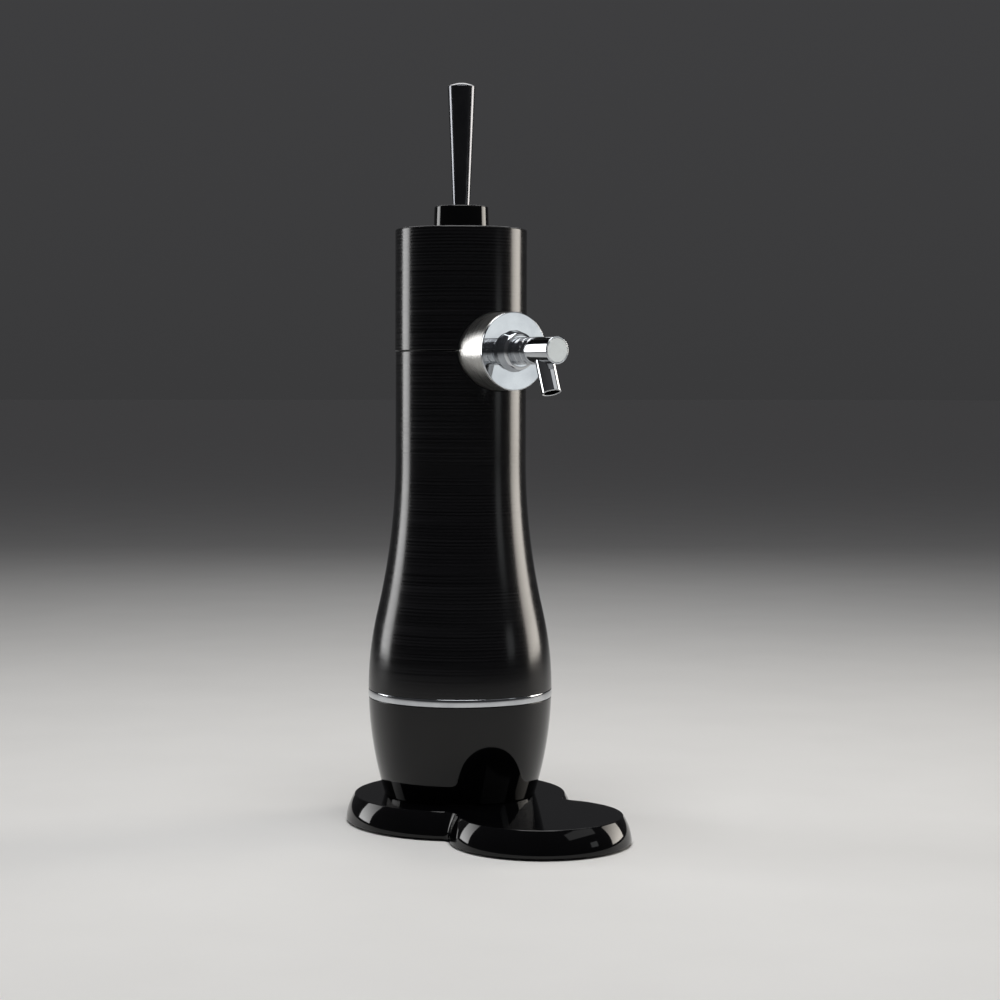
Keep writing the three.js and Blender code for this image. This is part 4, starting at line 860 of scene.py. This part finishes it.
def dip_tube():
    """A straight tube from the chassis's fitting to just above the bottle's floor, its end cut square."""
    low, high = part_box("suction_tube")
    bore, outer, foot, top = 2, 3, low.z * 1000, high.z * 1000
    corners = [(bore, foot, 0.1), (outer, foot, 0.15), (outer, top), (bore, top)]
    return on_tower(rounded(corners, 3, closed=True), 48)


dressed(skin("dip_tube", dip_tube(), True), silicone, "head", "tube_silicone", "suction_tube")


# The studio

def lamp(name, place, aim, size, power, tint="#ffffff", spread=180):
    """A rectangular soft lamp at a place in metres, facing a point, with its width and height in metres,
    and the angle in degrees that its grid lets light out over."""
    light = bpy.data.lights.new(name, "AREA")
    light.shape, light.size, light.size_y = "RECTANGLE", *size
    light.spread = math.radians(spread)
    light.energy, light.color = power, linear(tint)[:3]
    holder = bpy.data.objects.new(name, light)
    holder.location = place
    holder.rotation_mode = "QUATERNION"
    holder.rotation_quaternion = (Vector(aim) - Vector(place)).to_track_quat("-Z", "Y")
    holder.visible_camera = False
    scene.collection.objects.link(holder)


def around(azimuth, distance, height):
    """A place round the tower's axis: azimuth 0 is in front of the spout and grows towards +X."""
    turn = math.radians(azimuth)
    return (distance * math.sin(turn), TOWER_Y / 1000 - distance * math.cos(turn), height)


# The floor, with half its width in metres
floor_mesh = bpy.data.meshes.new("floor")
HALF = 60.0
floor_mesh.from_pydata([(-HALF, -HALF, 0), (HALF, -HALF, 0), (HALF, HALF, 0), (-HALF, HALF, 0)], [],
                       [(0, 1, 2, 3)])
floor = bpy.data.objects.new("floor", floor_mesh)
scene.collection.objects.link(floor)
floor_paint, tree, shader, place = blank("pale_matt_floor", Roughness=0.75)
clouds = noise(tree, place, (8, 8, 8), 3)
feed(tree, shader, Base_Color=tints(tree, clouds, (0.3, "#dcdbd9"), (0.7, "#dfdedc")))
floor_mesh.materials.append(floor_paint)

# The world is a grey room that gets a little lighter upwards.
world = bpy.data.worlds.new("studio")
scene.world = world
world.use_nodes = True
tree = world.node_tree
tree.nodes.clear()
way = add(tree, "TexCoord").outputs["Generated"]
height = add(tree, "SeparateXYZ", None, {0: way}).outputs["Z"]
shade = tints(tree, ramp(tree, height, 0, 1, 0.0, 0.7), (0.0, "#3a3a3b"), (1.0, "#49494b"))
back = add(tree, "Background", {"Strength": 1.0}, {"Color": shade})
tree.links.new(back.outputs[0], add(tree, "OutputWorld").inputs[0])

# The soft boxes at both sides draw the bright lines along the tower's edges. The front panel is what the
# faceplate mirrors, and the others light the top, the back and the foot. Powers are in watts.
lamp("left_softbox", around(-145.5, 2.2, 0.86), (0, TOWER_Y / 1000, 0.8), (0.8, 1.5), 4.4, spread=80)
lamp("right_softbox", around(77.5, 2.3, 0.76), (0, TOWER_Y / 1000, 0.7), (1.1, 1.3), 6.8, "#fff8ee", 80)
lamp("overhead", around(-34, 0.35, 1.85), (0, 0, 0), (1.1, 1.1), 26.5)
lamp("back_panel", around(146, 1.8, 1.6), (0, 0, 0.4), (1.2, 0.8), 6)
lamp("front_fill", around(25, 1.6, 1.25), (0, 0, 0.35), (1.3, 0.5), 1.5)
lamp("front_panel", around(34, 1.5, 0.35), (0, -0.05, 0.35), (0.26, 0.24), 0.21, "#f6fafb")

# The photograph's camera, fitted to the part's edges: its place in metres, the way it looks, and the little
# that it is turned about its line of sight.
CAMERA_PLACE, CAMERA_WAY = (-0.8934, -1.3042, 0.318), Vector((0.5677, 0.8226, -0.0318))
ROLL = Quaternion((0, 0, 1), math.radians(0.18))
camera = bpy.data.cameras.new("camera")
camera.lens, camera.sensor_width, camera.shift_x, camera.shift_y = 78.7, 36.0, 0.0, -0.04
camera.clip_end = 200.0
viewer = bpy.data.objects.new("camera", camera)
viewer.location = CAMERA_PLACE
viewer.rotation_mode = "QUATERNION"
viewer.rotation_quaternion = CAMERA_WAY.to_track_quat("-Z", "Y") @ ROLL
scene.collection.objects.link(viewer)
scene.camera = viewer
scene.view_settings.view_transform = "Standard"
